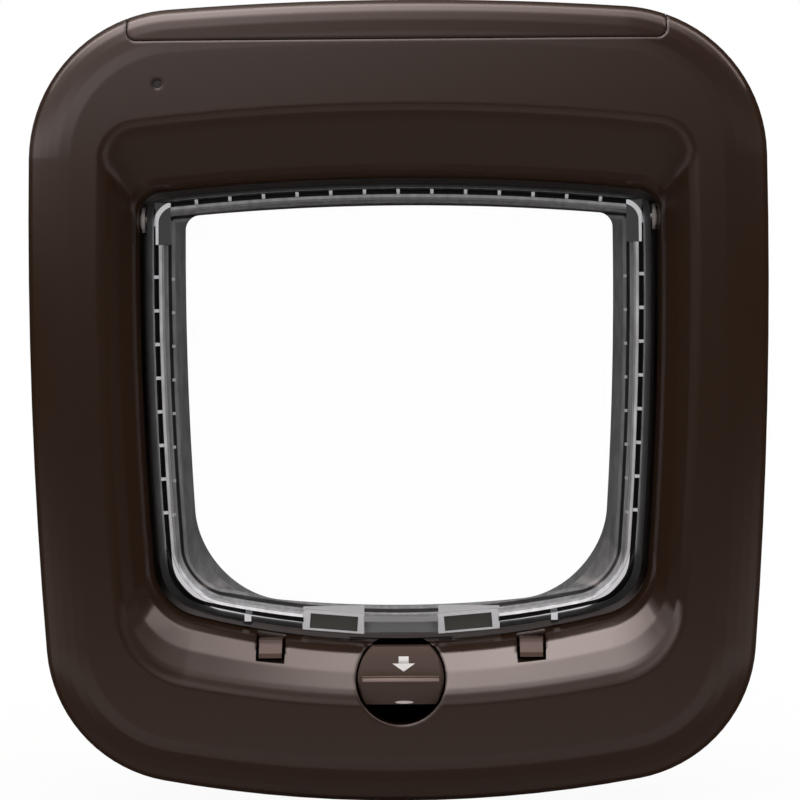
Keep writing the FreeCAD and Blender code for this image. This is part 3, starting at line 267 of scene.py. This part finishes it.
def set_floor():
    """A wide pale floor just under the object, near white to the camera, with its soft
    shadow. Reflections pass through it to the room's dim lower part."""
    material, tree, shader, place = new_material("floor_white")
    connect(tree, shader, {"Base Color": FLOOR_COLOUR, "Roughness": 0.9})
    glow = add(tree, "ShaderNodeEmission", {"Color": WHITE, "Strength": 1.0})
    reach = add(tree, "ShaderNodeVectorMath", {0: place}, operation="LENGTH").outputs["Value"]
    path = add(tree, "ShaderNodeLightPath").outputs
    share = calculate(tree, "MULTIPLY", seen_plainly(tree, path),
                      carry(tree, reach, FLOOR_FADE, FLOOR_GLOW))
    pale = add(tree, "ShaderNodeMixShader", {0: share, 1: shader.outputs[0], 2: glow.outputs[0]})
    clear = add(tree, "ShaderNodeBsdfTransparent")
    unseen = add(tree, "ShaderNodeMixShader", {0: path["Is Glossy Ray"], 1: pale.outputs[0],
                                               2: clear.outputs[0]})
    connect(tree, tree.nodes["Material Output"], {"Surface": unseen.outputs[0]})
    side = np.array([-1, 1, 1, -1]) * FLOOR_HALF
    depth = np.array([-1, -1, 1, 1]) * FLOOR_HALF
    level = cad_box[0].z / MILLIMETRE - FLOOR_DROP
    floor = new_piece("floor", grid_points(side, depth, level), [(0, 1, 2, 3)], material,
                      smooth=False)


# Finishes. Colours are linear.

BROWN = (0.0262, 0.0140, 0.0084)
KNOB_BROWN = (0.066, 0.043, 0.033)
# The grip's crest: a painted highlight, far lighter than the knob's brown
PAINTED_HIGHLIGHT_BROWN = (0.300, 0.235, 0.215)
# The latch tab's face: painted light, as bright as the lit slope beside it
TAB_PAINTED_LIGHT = (0.150, 0.112, 0.104)
INNER_BLACK = (0.012, 0.012, 0.012)
# Near black for the painted shade in the knob's well and at the slots' ends
PAINTED_SHADE_BLACK = (0.0008, 0.0008, 0.0008)
LENS_BLACK = (0.012, 0.010, 0.010)
BUSH_GREY = (0.30, 0.29, 0.28)
FERRITE_GREY = (0.045, 0.047, 0.042)
BOARD_GREEN = (0.01, 0.06, 0.02)
ARROW_WHITE = (0.92, 0.95, 0.95)
# The knob's pip: a painted highlight at the knob's lower edge
PIP_PAINTED_HIGHLIGHT = (0.70, 0.66, 0.64)
STEEL_GREY = (0.55, 0.55, 0.54)
COPPER_RED = (0.6, 0.24, 0.1)

# Fineness of the mould's grain, of its slow unevenness and of a metal's polish, for each metre
GRAIN_FINENESS = 4000.0
UNEVEN_FINENESS = 26.0
POLISH_FINENESS = 900.0
POLISH_SPREAD = 0.05
GRAIN_DEPTH = 0.004
EDGE_SAMPLES = 6


def new_material(name):
    """A material, its tree and its principled shader, with the object's own coordinates."""
    material = bpy.data.materials.new(name)
    material.use_nodes = True
    tree = material.node_tree
    place = add(tree, "ShaderNodeTexCoord").outputs["Object"]
    return material, tree, tree.nodes["Principled BSDF"], place


def moulded_grain():
    """Fine spark-eroded grain of a mould, with slow unevenness, for colour, gloss and height.

    With swing = (slow noise - 0.5) * unevenness, the colour is multiplied by 1 + swing, and
    swing is added to the roughness.
    """
    group, given, out = new_group(
        "moulded_grain",
        {"Vector": VECTOR, "Colour": COLOUR, "Roughness": FLOAT, "Unevenness": FLOAT},
        {"Colour": COLOUR, "Roughness": FLOAT, "Height": FLOAT})
    grain = add(group, "ShaderNodeTexNoise", {"Vector": given["Vector"], "Scale": GRAIN_FINENESS,
                                              "Detail": 2.0, "Roughness": 0.6})
    slow = add(group, "ShaderNodeTexNoise", {"Vector": given["Vector"], "Scale": UNEVEN_FINENESS,
                                             "Detail": 3.0})
    centred = calculate(group, "SUBTRACT", slow.outputs["Fac"], 0.5)
    swing = calculate(group, "MULTIPLY", centred, given["Unevenness"])
    shaded = add(group, "ShaderNodeVectorMath", {
        0: given["Colour"], 1: calculate(group, "ADD", swing, 1.0)}, operation="MULTIPLY")
    connect(group, out, {"Colour": shaded.outputs[0],
                         "Roughness": calculate(group, "ADD", given["Roughness"], swing),
                         "Height": grain.outputs["Fac"]})
    return group


MOULDED = moulded_grain()


def moulded_plastic(name, colour, roughness, unevenness=0.08, specular=0.5, rounding=0.0):
    """Moulded plastic with a fine grain. Rounding softens its edges over that many millimetres."""
    material, tree, shader, place = new_material(name)
    effect = add(tree, "ShaderNodeGroup", {
        "Vector": place, "Colour": (*colour, 1), "Roughness": roughness,
        "Unevenness": unevenness}, node_tree=MOULDED).outputs
    grain = add(tree, "ShaderNodeBump", {"Height": effect["Height"],
                                         "Distance": GRAIN_DEPTH * MILLIMETRE})
    if rounding:
        soft = add(tree, "ShaderNodeBevel", {"Radius": rounding * MILLIMETRE},
                   samples=EDGE_SAMPLES)
        connect(tree, grain, {"Normal": soft.outputs["Normal"]})
    connect(tree, shader, {
        "Base Color": effect["Colour"], "Roughness": effect["Roughness"],
        "Normal": grain.outputs["Normal"], "Specular IOR Level": specular})
    return material


def metal(name, colour, roughness):
    """Plated or drawn metal with a fine uneven polish."""
    material, tree, shader, place = new_material(name)
    noise = add(tree, "ShaderNodeTexNoise", {"Vector": place, "Scale": POLISH_FINENESS,
                                             "Detail": 3.0})
    connect(tree, shader, {
        "Base Color": (*colour, 1), "Metallic": 1.0,
        "Roughness": carry(tree, noise.outputs["Fac"], target=(roughness - POLISH_SPREAD,
                                                               roughness + POLISH_SPREAD))})
    return material


# Distances from the middle where a cell's band and its bare end begin
CELL_BAND = 38.0
CELL_END = 48.8
WRAP_BLACK = (0.012, 0.012, 0.014, 1)
BAND_ORANGE = (0.32, 0.17, 0.05, 1)
END_METAL = (0.6, 0.6, 0.58, 1)


def cell_wrap():
    """Dry cell: a dark wrap with a lighter band near one end, and bare metal at the tip."""
    material, tree, shader, place = new_material("cell_wrap")
    axes = add(tree, "ShaderNodeSeparateXYZ", {0: place}).outputs
    across = calculate(tree, "ABSOLUTE", axes["X"])
    band = calculate(tree, "GREATER_THAN", across, CELL_BAND * MILLIMETRE)
    bare = calculate(tree, "GREATER_THAN", across, CELL_END * MILLIMETRE)
    colour = blend(tree, bare, blend(tree, band, WRAP_BLACK, BAND_ORANGE), END_METAL)
    connect(tree, shader, {"Base Color": colour, "Metallic": bare, "Roughness": 0.28})
    return material


# The flap's outlines in millimetres: half width, top, bottom, how fast the top and the bottom
# edge curve, and the two corner radii. The sides curve alike in all of them.
OUTLINE_SIZES = ("Half Width", "Top", "Bottom", "Top Curve", "Bottom Curve", "Upper Corner",
                 "Lower Corner")
FLAP_EDGE = (76.4, 65.0, 71.2, 1/1370, 1/502, 4.4, 14.5)
RAIL_EDGE = (72.7, 62.2, 67.6, 1/1370, 1/540, 4.4, 14.0)
WINDOW_EDGE = (65.4, 59.2, 63.2, 1/1454, 1/752, 4.0, 24.0)
WIDEST = 39.0
SIDE_CURVE = 1/2300


def outline_group():
    """Signed distance from a bulged outline with rounded corners, in millimetres.

    With s, t and b the distances past the side, the top and the bottom edge, e = max(t, b) and
    r the corner's radius: distance = |max(s + r, 0), max(e + r, 0)| + min(max(s, e) + r, 0) - r.
    """
    group, given, out = new_group(
        "outline_distance", {"Vector": VECTOR, **dict.fromkeys(OUTLINE_SIZES, FLOAT)},
        {"Distance": FLOAT})

    def total(first, second):
        return calculate(group, "ADD", first, second)

    def less(first, second):
        return calculate(group, "SUBTRACT", first, second)

    def times(first, second):
        return calculate(group, "MULTIPLY", first, second)

    def larger(first, second):
        return calculate(group, "MAXIMUM", first, second)

    axes = add(group, "ShaderNodeSeparateXYZ", {0: given["Vector"]}).outputs
    across = calculate(group, "ABSOLUTE", axes["X"])
    height = axes["Z"]
    square = times(across, across)
    above = less(height, WIDEST)
    side = less(total(across, times(times(above, above), SIDE_CURVE)), given["Half Width"])
    top = less(total(height, times(square, given["Top Curve"])), given["Top"])
    low = less(less(times(square, given["Bottom Curve"]), height), given["Bottom"])
    upper = calculate(group, "GREATER_THAN", height, 0.0)
    radius = carry(group, upper, target=(given["Lower Corner"], given["Upper Corner"]))
    past_side = total(side, radius)
    past_end = total(larger(top, low), radius)
    outside = add(group, "ShaderNodeCombineXYZ", {0: larger(past_side, 0.0),
                                                  1: larger(past_end, 0.0)})
    length = add(group, "ShaderNodeVectorMath", {0: outside.outputs[0]}, operation="LENGTH")
    inside = calculate(group, "MINIMUM", larger(past_side, past_end), 0.0)
    distance = less(total(length.outputs["Value"], inside), radius)
    connect(group, out, {"Distance": distance})
    return group


OUTLINE = outline_group()


def outline_distance(tree, spot, edge):
    """Distance past one of the flap's outlines at a place in millimetres."""
    return add(tree, "ShaderNodeGroup", {"Vector": spot, **dict(zip(OUTLINE_SIZES, edge))},
               node_tree=OUTLINE).outputs["Distance"]


# Tones across the flap's rim, by the distance in millimetres past the rail's outer edge
RIM_REACH = 12.0
# The rail's palest band and the thin pale band just past the channel are painted highlights
RIM_TONES_AND_HIGHLIGHTS = [(-12.0, 0.125), (-4.6, 0.125), (-4.3, 0.20), (-3.6, 0.20), (-3.4, 0.02),
             (-2.6, 0.02), (-2.4, 0.26), (-1.0, 0.28), (-0.8, 0.60), (-0.1, 0.60), (0.1, 0.020),
             (1.5, 0.020), (1.65, 0.20), (1.95, 0.20), (2.1, 0.075), (2.6, 0.060), (3.2, 0.035)]
# Low down, a painted highlight on the rail and painted shade past it; the top is darker too
LOW_HEIGHTS = (-46.0, -62.0)
RAIL_STEP = (0.3, 0.5)
LOW_GAINS = (1.1, -0.5)
TOP_HEIGHTS = (54.0, 60.0)
TOP_SHARES = (1.0, 0.55)
STREAK_SCALE = (0.5, 0.5, 0.12)
STREAK_SLANT = math.radians(40)
STREAK_SHARES = (0.5, 1.5)


def grey(level):
    """A cool grey: a twentieth less red and a twentieth more blue than its level."""
    return (level * 0.95, level, level * 1.05, 1)


def rim_greys_and_light(tree, spot, height, rail):
    """Greys in steps across the flap's rim, with painted highlight and shade, and slanting streaks
    over them.
    """
    tones = gradient(tree, carry(tree, rail, (-RIM_REACH, RIM_REACH)),
                     [((reach / RIM_REACH + 1) / 2, grey(tone)) for reach, tone in RIM_TONES_AND_HIGHLIGHTS])
    # Painted highlight on the rail low down, painted shade past it, and a darker top
    low = calculate(tree, "MULTIPLY", carry(tree, height, LOW_HEIGHTS),
                    carry(tree, rail, RAIL_STEP, LOW_GAINS))
    along = calculate(tree, "MULTIPLY", calculate(tree, "ADD", low, 1.0),
                      carry(tree, height, TOP_HEIGHTS, TOP_SHARES))
    slanted = add(tree, "ShaderNodeMapping", {"Vector": spot, "Scale": STREAK_SCALE,
                                              "Rotation": (0, STREAK_SLANT, 0)})
    streaks = add(tree, "ShaderNodeTexNoise", {"Vector": slanted.outputs[0], "Scale": 1.0,
                                               "Detail": 3.0})
    gain = calculate(tree, "MULTIPLY", along,
                     carry(tree, streaks.outputs["Fac"], target=STREAK_SHARES))
    return add(tree, "ShaderNodeVectorMath", {0: tones, 1: gain}, operation="MULTIPLY").outputs[0]


# Marks on the rim: the grey, then the middle and half size across and the same upwards
EJECTOR_DOTS = (0.5, (68.8, 0.45), (2.0, 43.0))
HINGE_BLOCK = (0.085, (71.4, 2.4), (53.7, 6.4))
MAGNET_FRAME = (0.72, (20.6, 9.3), (-67.5, 4.4))
PILE_STOP = (0.95, (46.5, 1.0), (-65.2, 1.9))
MIDDLE_BRIDGE = (0.36, (0.0, 11.3), (-68.3, 2.6))
# Length and spacing of the dots beside the rail, and the shift that puts one on its first place
DOT_LENGTH = 0.9
DOT_PITCH = 10.24
DOT_SHIFT = 65.8
# The pale painted highlight in the brush channel: grey, middle and half width past the rail, and
# its depth
CHANNEL_HIGHLIGHT_GREY = 0.95
CHANNEL_WIDTH = (0.85, 0.75)
CHANNEL_DEPTH = -18.5


def box_mark(tree, across, height, mark):
    """A box's mask, 1 inside and 0 outside, and its grey."""
    tone, width, rise = mark
    return calculate(tree, "MULTIPLY", within(tree, across, *width),
                     within(tree, height, *rise)), tone


def rim_marks(tree, axes, rail):
    """Masks and greys of the marks on the rim, each of which lies over those before it."""
    across = calculate(tree, "ABSOLUTE", axes["X"])
    column, dot_grey = box_mark(tree, across, axes["Z"], EJECTOR_DOTS)
    phase = calculate(tree, "MODULO", calculate(tree, "ADD", axes["Z"], DOT_SHIFT), DOT_PITCH)
    dots = calculate(tree, "MULTIPLY", column, calculate(tree, "LESS_THAN", phase, DOT_LENGTH))
    # A painted highlight on what lies in front of that depth in the brush channel
    front = calculate(tree, "LESS_THAN", axes["Y"], CHANNEL_DEPTH)
    channel = calculate(tree, "MULTIPLY", within(tree, rail, *CHANNEL_WIDTH), front)
    return [(dots, dot_grey),
            box_mark(tree, across, axes["Z"], HINGE_BLOCK),
            (channel, CHANNEL_HIGHLIGHT_GREY),
            box_mark(tree, across, axes["Z"], MAGNET_FRAME),
            box_mark(tree, across, axes["Z"], PILE_STOP),
            box_mark(tree, across, axes["Z"], MIDDLE_BRIDGE)]


# How much the rim and the window cover, and how rough the rim and the ledge past it are
FLAP_COVER = (0.985, 0.012)
FLAP_ROUGHNESS = (0.16, 0.9)
LEDGE_START = 1.9
ACRYLIC_IOR = 1.49


def flap_plastic():
    """The clear flap: a see-through window, and a rim in smoky steps of grey with painted
    highlights and shade.
    """
    material, tree, shader, place = new_material("flap_plastic")
    spot = add(tree, "ShaderNodeVectorMath", {0: place, 1: (1 / MILLIMETRE,) * 3},
               operation="MULTIPLY").outputs[0]
    axes = add(tree, "ShaderNodeSeparateXYZ", {0: spot}).outputs
    rail = outline_distance(tree, spot, RAIL_EDGE)
    window = outline_distance(tree, spot, WINDOW_EDGE)
    clear = calculate(tree, "LESS_THAN", window, 0.0)
    ledge = calculate(tree, "GREATER_THAN", rail, LEDGE_START)
    colour = rim_greys_and_light(tree, spot, axes["Z"], rail)
    for mask, tone in rim_marks(tree, axes, rail):
        colour = blend(tree, mask, colour, grey(tone))
    connect(tree, shader, {
        "Base Color": blend(tree, clear, colour, WHITE),
        "Alpha": carry(tree, clear, target=FLAP_COVER),
        "Roughness": carry(tree, ledge, target=FLAP_ROUGHNESS),
        "IOR": ACRYLIC_IOR, "Specular IOR Level": 0.2})
    return material


def paint(node, material):
    """Give a carried-over piece one material."""
    mesh = nodes[node].data
    mesh.materials.clear()
    mesh.materials.append(material)


def set_finishes():
    """Give every carried-over piece the finish of its slot. The brushes' finish is returned."""
    inner = moulded_plastic("inner_black", INNER_BLACK, roughness=0.5)
    finishes = {
        "housing_plastic": moulded_plastic("housing_brown", BROWN, roughness=0.15,
                                           unevenness=0.03, rounding=1.5),
        "clear_plastic": flap_plastic(),
        "lens_plastic": moulded_plastic("lens", LENS_BLACK, roughness=0.2),
        "knob_plastic": moulded_plastic("knob_brown", KNOB_BROWN, roughness=0.34),
        "inner_plastic": inner,
        "bush_plastic": moulded_plastic("bush_grey", BUSH_GREY, roughness=0.3),
        "black_pile": inner,
        "magnet": moulded_plastic("ferrite", FERRITE_GREY, roughness=0.45),
        "steel": metal("plated_steel", STEEL_GREY, roughness=0.3),
        "cell_jacket": cell_wrap(),
        "board_laminate": moulded_plastic("board_green", BOARD_GREEN, roughness=0.35),
        "copper": metal("enamelled_copper", COPPER_RED, roughness=0.28),
    }
    for row in frame["record"]["subparts"]:
        paint(row["node"], finishes[row["material_slot"]])
    return inner


# The brushes

# Each brush's first and last angle round the flap's middle in degrees, and its seed
BRUSHES = {"brush_top": (41.5, 138.5, 9), "brush_left": (146.5, 236.0, 10),
           "brush_right": (33.5, -56.0, 11)}
FLAP_RADIUS = 80
BRISTLES_PER_MM = 26
BRISTLE_LENGTH = 1.3
BRISTLE_HALF_WIDTH = 0.07
BRISTLE_SWAY = 0.1
BRISTLE_ROOT = 0.15
PILE_DEPTHS = (-16.9, -15.1)
ANGLE_CHANCE = 0.0004
# Three sides of a spike, whose corners are two at the foot, one behind them and the tip
BRISTLE_SIDES = np.array([(1, 0, 3), (2, 1, 3), (0, 2, 3)])
# Rays from the middle cross an outline between these distances, found in so many halvings
CROSSING = (30.0, 130.0)
HALVINGS = 40
SLOPE_STEP = 0.01


def past_outline(x, z, edge):
    """The same signed distance as the outline group gives, for arrays in millimetres."""
    half, top, bottom, top_curve, bottom_curve, upper, lower = edge
    side = np.abs(x) + (z - WIDEST) ** 2 * SIDE_CURVE - half
    end = np.maximum(z + x ** 2 * top_curve - top, x ** 2 * bottom_curve - z - bottom)
    radius = np.where(z > 0, upper, lower)
    length = np.hypot(np.maximum(side + radius, 0), np.maximum(end + radius, 0))
    return length + np.minimum(np.maximum(side, end) + radius, 0) - radius


def outline_points(angles, edge):
    """Points on an outline where rays from the middle cross it, and its outward normals."""
    near, far = (np.full_like(angles, distance) for distance in CROSSING)
    for _ in range(HALVINGS):
        middle = (near + far) / 2
        out = past_outline(middle * np.cos(angles), middle * np.sin(angles), edge) > 0
        far = np.where(out, middle, far)
        near = np.where(out, near, middle)
    x, z = near * np.cos(angles), near * np.sin(angles)
    slope_x = past_outline(x + SLOPE_STEP, z, edge) - past_outline(x - SLOPE_STEP, z, edge)
    slope_z = past_outline(x, z + SLOPE_STEP, edge) - past_outline(x, z - SLOPE_STEP, edge)
    length = np.hypot(slope_x, slope_z)
    return x, z, slope_x / length, slope_z / length


def make_pile(node, first, last, seed, material):
    """A strip of fine bristles that stand out from the flap's edge between two angles.

    Each bristle is a slim three-sided spike. Its foot lies on the outline at an angle
    a = first + (last - first) * k / count, moved a little by chance along the edge and in depth,
    and its tip lies the bristle's length further out, with a sway along the edge.
    """
    chance = np.random.default_rng(seed)
    count = int(abs(last - first) * FLAP_RADIUS * BRISTLES_PER_MM)
    angles = np.linspace(first, last, count) + chance.uniform(-ANGLE_CHANCE, ANGLE_CHANCE, count)
    x, z, out_x, out_z = outline_points(angles, FLAP_EDGE)
    y = chance.uniform(*PILE_DEPTHS, count)
    length = BRISTLE_LENGTH * chance.uniform(0.85, 1.0, count)
    sway = chance.uniform(-BRISTLE_SWAY, BRISTLE_SWAY, count)
    edge = grid_points(x, y, z)
    out = grid_points(out_x, 0.0, out_z)
    along = grid_points(-out_z, 0.0, out_x)
    behind = np.array([0.0, BRISTLE_HALF_WIDTH, 0.0])
    foot = edge - BRISTLE_ROOT * out
    tip = edge + length[:, None] * out + sway[:, None] * along
    points = np.stack([foot - BRISTLE_HALF_WIDTH * along, foot + BRISTLE_HALF_WIDTH * along,
                       foot + behind, tip], axis=1)
    faces = (4 * np.arange(count)[:, None, None] + BRISTLE_SIDES).reshape(-1, 3).tolist()
    piece = new_piece(node.replace("brush", "pile"), points, faces, material, smooth=False)
    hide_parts(node)
    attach(piece, "flap")


# The lock's knob

LOCK_HEIGHT = -83.6
KNOB_FRONT = 33.5
KNOB_CROWN = 26.0
# Rows of the arrow: height, left edge and right edge
ARROW_ROWS = np.array([(-76.8, -0.6, 2.4), (-77.8, -0.6, 2.4), (-78.9, -0.6, 2.4),
                       (-78.9, -2.5, 4.3), (-79.7, -1.37, 3.17), (-80.5, -0.23, 2.03),
                       (-81.3, 0.9, 0.9)])
ARROW_LIFT = 0.03


def knob_surface(height):
    """Y on the knob's crowned face: a cylinder along X with its crest at the lock's height."""
    return -(KNOB_FRONT - KNOB_CROWN + np.sqrt(KNOB_CROWN ** 2 - (height - LOCK_HEIGHT) ** 2))


def make_arrow(material):
    """The printed arrow: rows from a left to a right edge, just above the knob's face."""
    height = ARROW_ROWS[:, :1]
    points = grid_points(ARROW_ROWS[:, 1:], knob_surface(height) - ARROW_LIFT, height)
    # These quads are listed the other way round, which keeps the shading at the arrow's step
    faces = grid_faces(len(ARROW_ROWS), 2)[:, [0, 3, 2, 1]].tolist()
    piece = new_piece("knob_arrow", points, faces, material)
    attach(piece, "lock")


GRIP_HALF_LENGTH = 11.45
GRIP_HALF_WIDTH = 1.0
GRIP_FRONT = 35.2
GRIP_FOOT = 33.0
GRIP_STEPS = 17


def make_grip(material):
    """The knob's grip bar with a rounded crest: half a superellipse swept along X.

    At an angle a from 0 to pi, the height is half the width * sign(cos a) * |cos a| ** 0.7, and
    the reach in front of the foot is the crest's reach * sin(a) ** 0.6.
    """
    a = np.linspace(0, np.pi, GRIP_STEPS)[:, None]
    z = LOCK_HEIGHT + GRIP_HALF_WIDTH * np.sign(np.cos(a)) * np.abs(np.cos(a)) ** 0.7
    y = -(GRIP_FOOT + (GRIP_FRONT - GRIP_FOOT) * np.sin(a) ** 0.6)
    points = grid_points([-GRIP_HALF_LENGTH, GRIP_HALF_LENGTH], y, z)
    left_end = range(2 * GRIP_STEPS - 2, -1, -2)
    right_end = range(1, 2 * GRIP_STEPS, 2)
    faces = grid_faces(GRIP_STEPS, 2).tolist() + [list(left_end), list(right_end)]
    piece = new_piece("grip_crest", points, faces, material)
    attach(piece, "lock")


# Place, half sizes and rise of the pip
PIP_X = 1.0
PIP_HEIGHT = -90.6
PIP_HALF_LENGTH = 2.8
PIP_HALF_WIDTH = 0.5
PIP_RISE = 0.35
PIP_LIFT = 0.02
PIP_RINGS = 5
PIP_SIDES = 24


def make_pip(material):
    """The small raised pip at the knob's lower edge: half an ellipsoid on the crowned face.

    At an angle a and a share s of the way out, a point lies s * half length * cos(a) across,
    s * half width * sin(a) up, and rise * sqrt(1 - s * s) in front of the knob's face.
    """
    share = np.linspace(0, 1, PIP_RINGS + 1)[1:, None]
    a = np.linspace(0, 2 * np.pi, PIP_SIDES, endpoint=False)
    x = PIP_X + PIP_HALF_LENGTH * share * np.cos(a)
    z = PIP_HEIGHT + PIP_HALF_WIDTH * share * np.sin(a)
    y = knob_surface(z) - PIP_LIFT - PIP_RISE * np.sqrt(1 - share ** 2)
    middle = [(PIP_X, knob_surface(PIP_HEIGHT) - PIP_RISE, PIP_HEIGHT)]
    points = np.concatenate([middle, grid_points(x, y, z).reshape(-1, 3)])
    faces = [(0, 1 + side, 1 + (side + 1) % PIP_SIDES) for side in range(PIP_SIDES)]
    faces += (1 + grid_faces(PIP_RINGS, PIP_SIDES, closed=True)).tolist()
    piece = new_piece("knob_pip", points, faces, material)
    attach(piece, "lock")


# Inner and outer radius of the shade in the knob's well, its depth, and where the flap cuts it
WELL_RADII = (6.0, 13.3)
WELL_DEPTH = -24.2
WELL_TOP = -72.2
WELL_STEPS = 48


def make_well_shade(material):
    """The unlit depth of the knob's well: a flat ring behind the knob, cut straight at the top.

    Points lie at radius * cos(a) and at the lock's height + radius * sin(a), or at the cut.
    """
    a = np.linspace(0, 2 * np.pi, WELL_STEPS, endpoint=False)
    radius = np.array(WELL_RADII)[:, None]
    height = np.minimum(LOCK_HEIGHT + radius * np.sin(a), WELL_TOP)
    points = grid_points(radius * np.cos(a), WELL_DEPTH, height)
    faces = grid_faces(len(WELL_RADII), WELL_STEPS, closed=True).tolist()
    piece = new_piece("well_shade", points, faces, material)
    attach(piece, "housing")


# The latch slots and tabs in the sill slope

SLOT_SPACING = 39.3
SLOT_HALF = 4.35
TAB_HALF = 3.45
SLOT_HEIGHTS = (-74.5, -78.0)
TAB_TOP = -72.2
TAB_LIP = -76.1
TAB_END = -77.4
SLOT_LIFT = 0.05
TAB_LIFT = 0.12
# How far beside the slot's middle the slope is felt, in half widths of the slot
SLOPE_BESIDE = 1.4
PATCH_ROWS = 12
ROOM_SIDE = -100.0


def surface(node, x, z):
    """Y in millimetres where a line from the room first meets a carried-over piece, or 0."""
    start = Vector((x, ROOM_SIDE, z)) * MILLIMETRE
    hit, place = nodes[node].ray_cast(start, Vector((0, 1, 0)))[:2]
    return place.y / MILLIMETRE if hit else 0.0


def make_patch(name, centre, half, heights, lift, body, material):
    """A skin over the sill slope, from edge to edge and down in rows between two heights. Each
    row lies a lift in front of the slope on both sides of the slot and of the tab in it."""
    height = np.linspace(*heights, PATCH_ROWS)
    beside = SLOPE_BESIDE * SLOT_HALF
    y = [min(surface("front_frame", centre - beside, z), surface("front_frame", centre + beside, z),
             surface("latch_slide", centre, z)) - lift for z in height]
    points = grid_points([centre - half, centre + half], np.array(y)[:, None], height[:, None])
    piece = new_piece(name, points, grid_faces(PATCH_ROWS, 2).tolist(), material)
    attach(piece, body)


def make_slots(shade):
    """On both sides painted shade over the slot's end, and painted light on the tab's face with a
    darker painted shade on its lip.
    """
    tab = moulded_plastic("tab_painted_light", TAB_PAINTED_LIGHT, roughness=0.45, specular=0.2)
    # The lip takes the knob's darker brown as painted shade
    lip = moulded_plastic("lip_painted_shade", KNOB_BROWN, roughness=0.5, specular=0.1)
    for side, centre in (("left", -SLOT_SPACING), ("right", SLOT_SPACING)):
        make_patch("slot_shade_" + side, centre, SLOT_HALF, SLOT_HEIGHTS, SLOT_LIFT, "housing",
                   shade)
        make_patch("tab_face_" + side, centre, TAB_HALF, (TAB_TOP, TAB_LIP), TAB_LIFT, "latch",
                   tab)
        make_patch("tab_lip_" + side, centre, TAB_HALF, (TAB_LIP, TAB_END), TAB_LIFT, "latch",
                   lip)


bpy.context.scene.view_settings.view_transform = "Standard"
set_camera()
set_world()
set_lamp()
set_floor()
pile = set_finishes()
for brush, (first, last, seed) in BRUSHES.items():
    make_pile(brush, math.radians(first), math.radians(last), seed, pile)
make_arrow(moulded_plastic("arrow_white", ARROW_WHITE, roughness=0.4))
# A painted highlight on the grip's crest
make_grip(moulded_plastic("grip_painted_highlight", PAINTED_HIGHLIGHT_BROWN, roughness=0.4))
# A painted highlight on the knob's pip
make_pip(moulded_plastic("pip_painted_highlight", PIP_PAINTED_HIGHLIGHT, roughness=0.4))
# Painted shade in the knob's well and at the slots' ends
dark = moulded_plastic("painted_shade_black", PAINTED_SHADE_BLACK, roughness=0.9, specular=0.0)
make_well_shade(dark)
make_slots(dark)
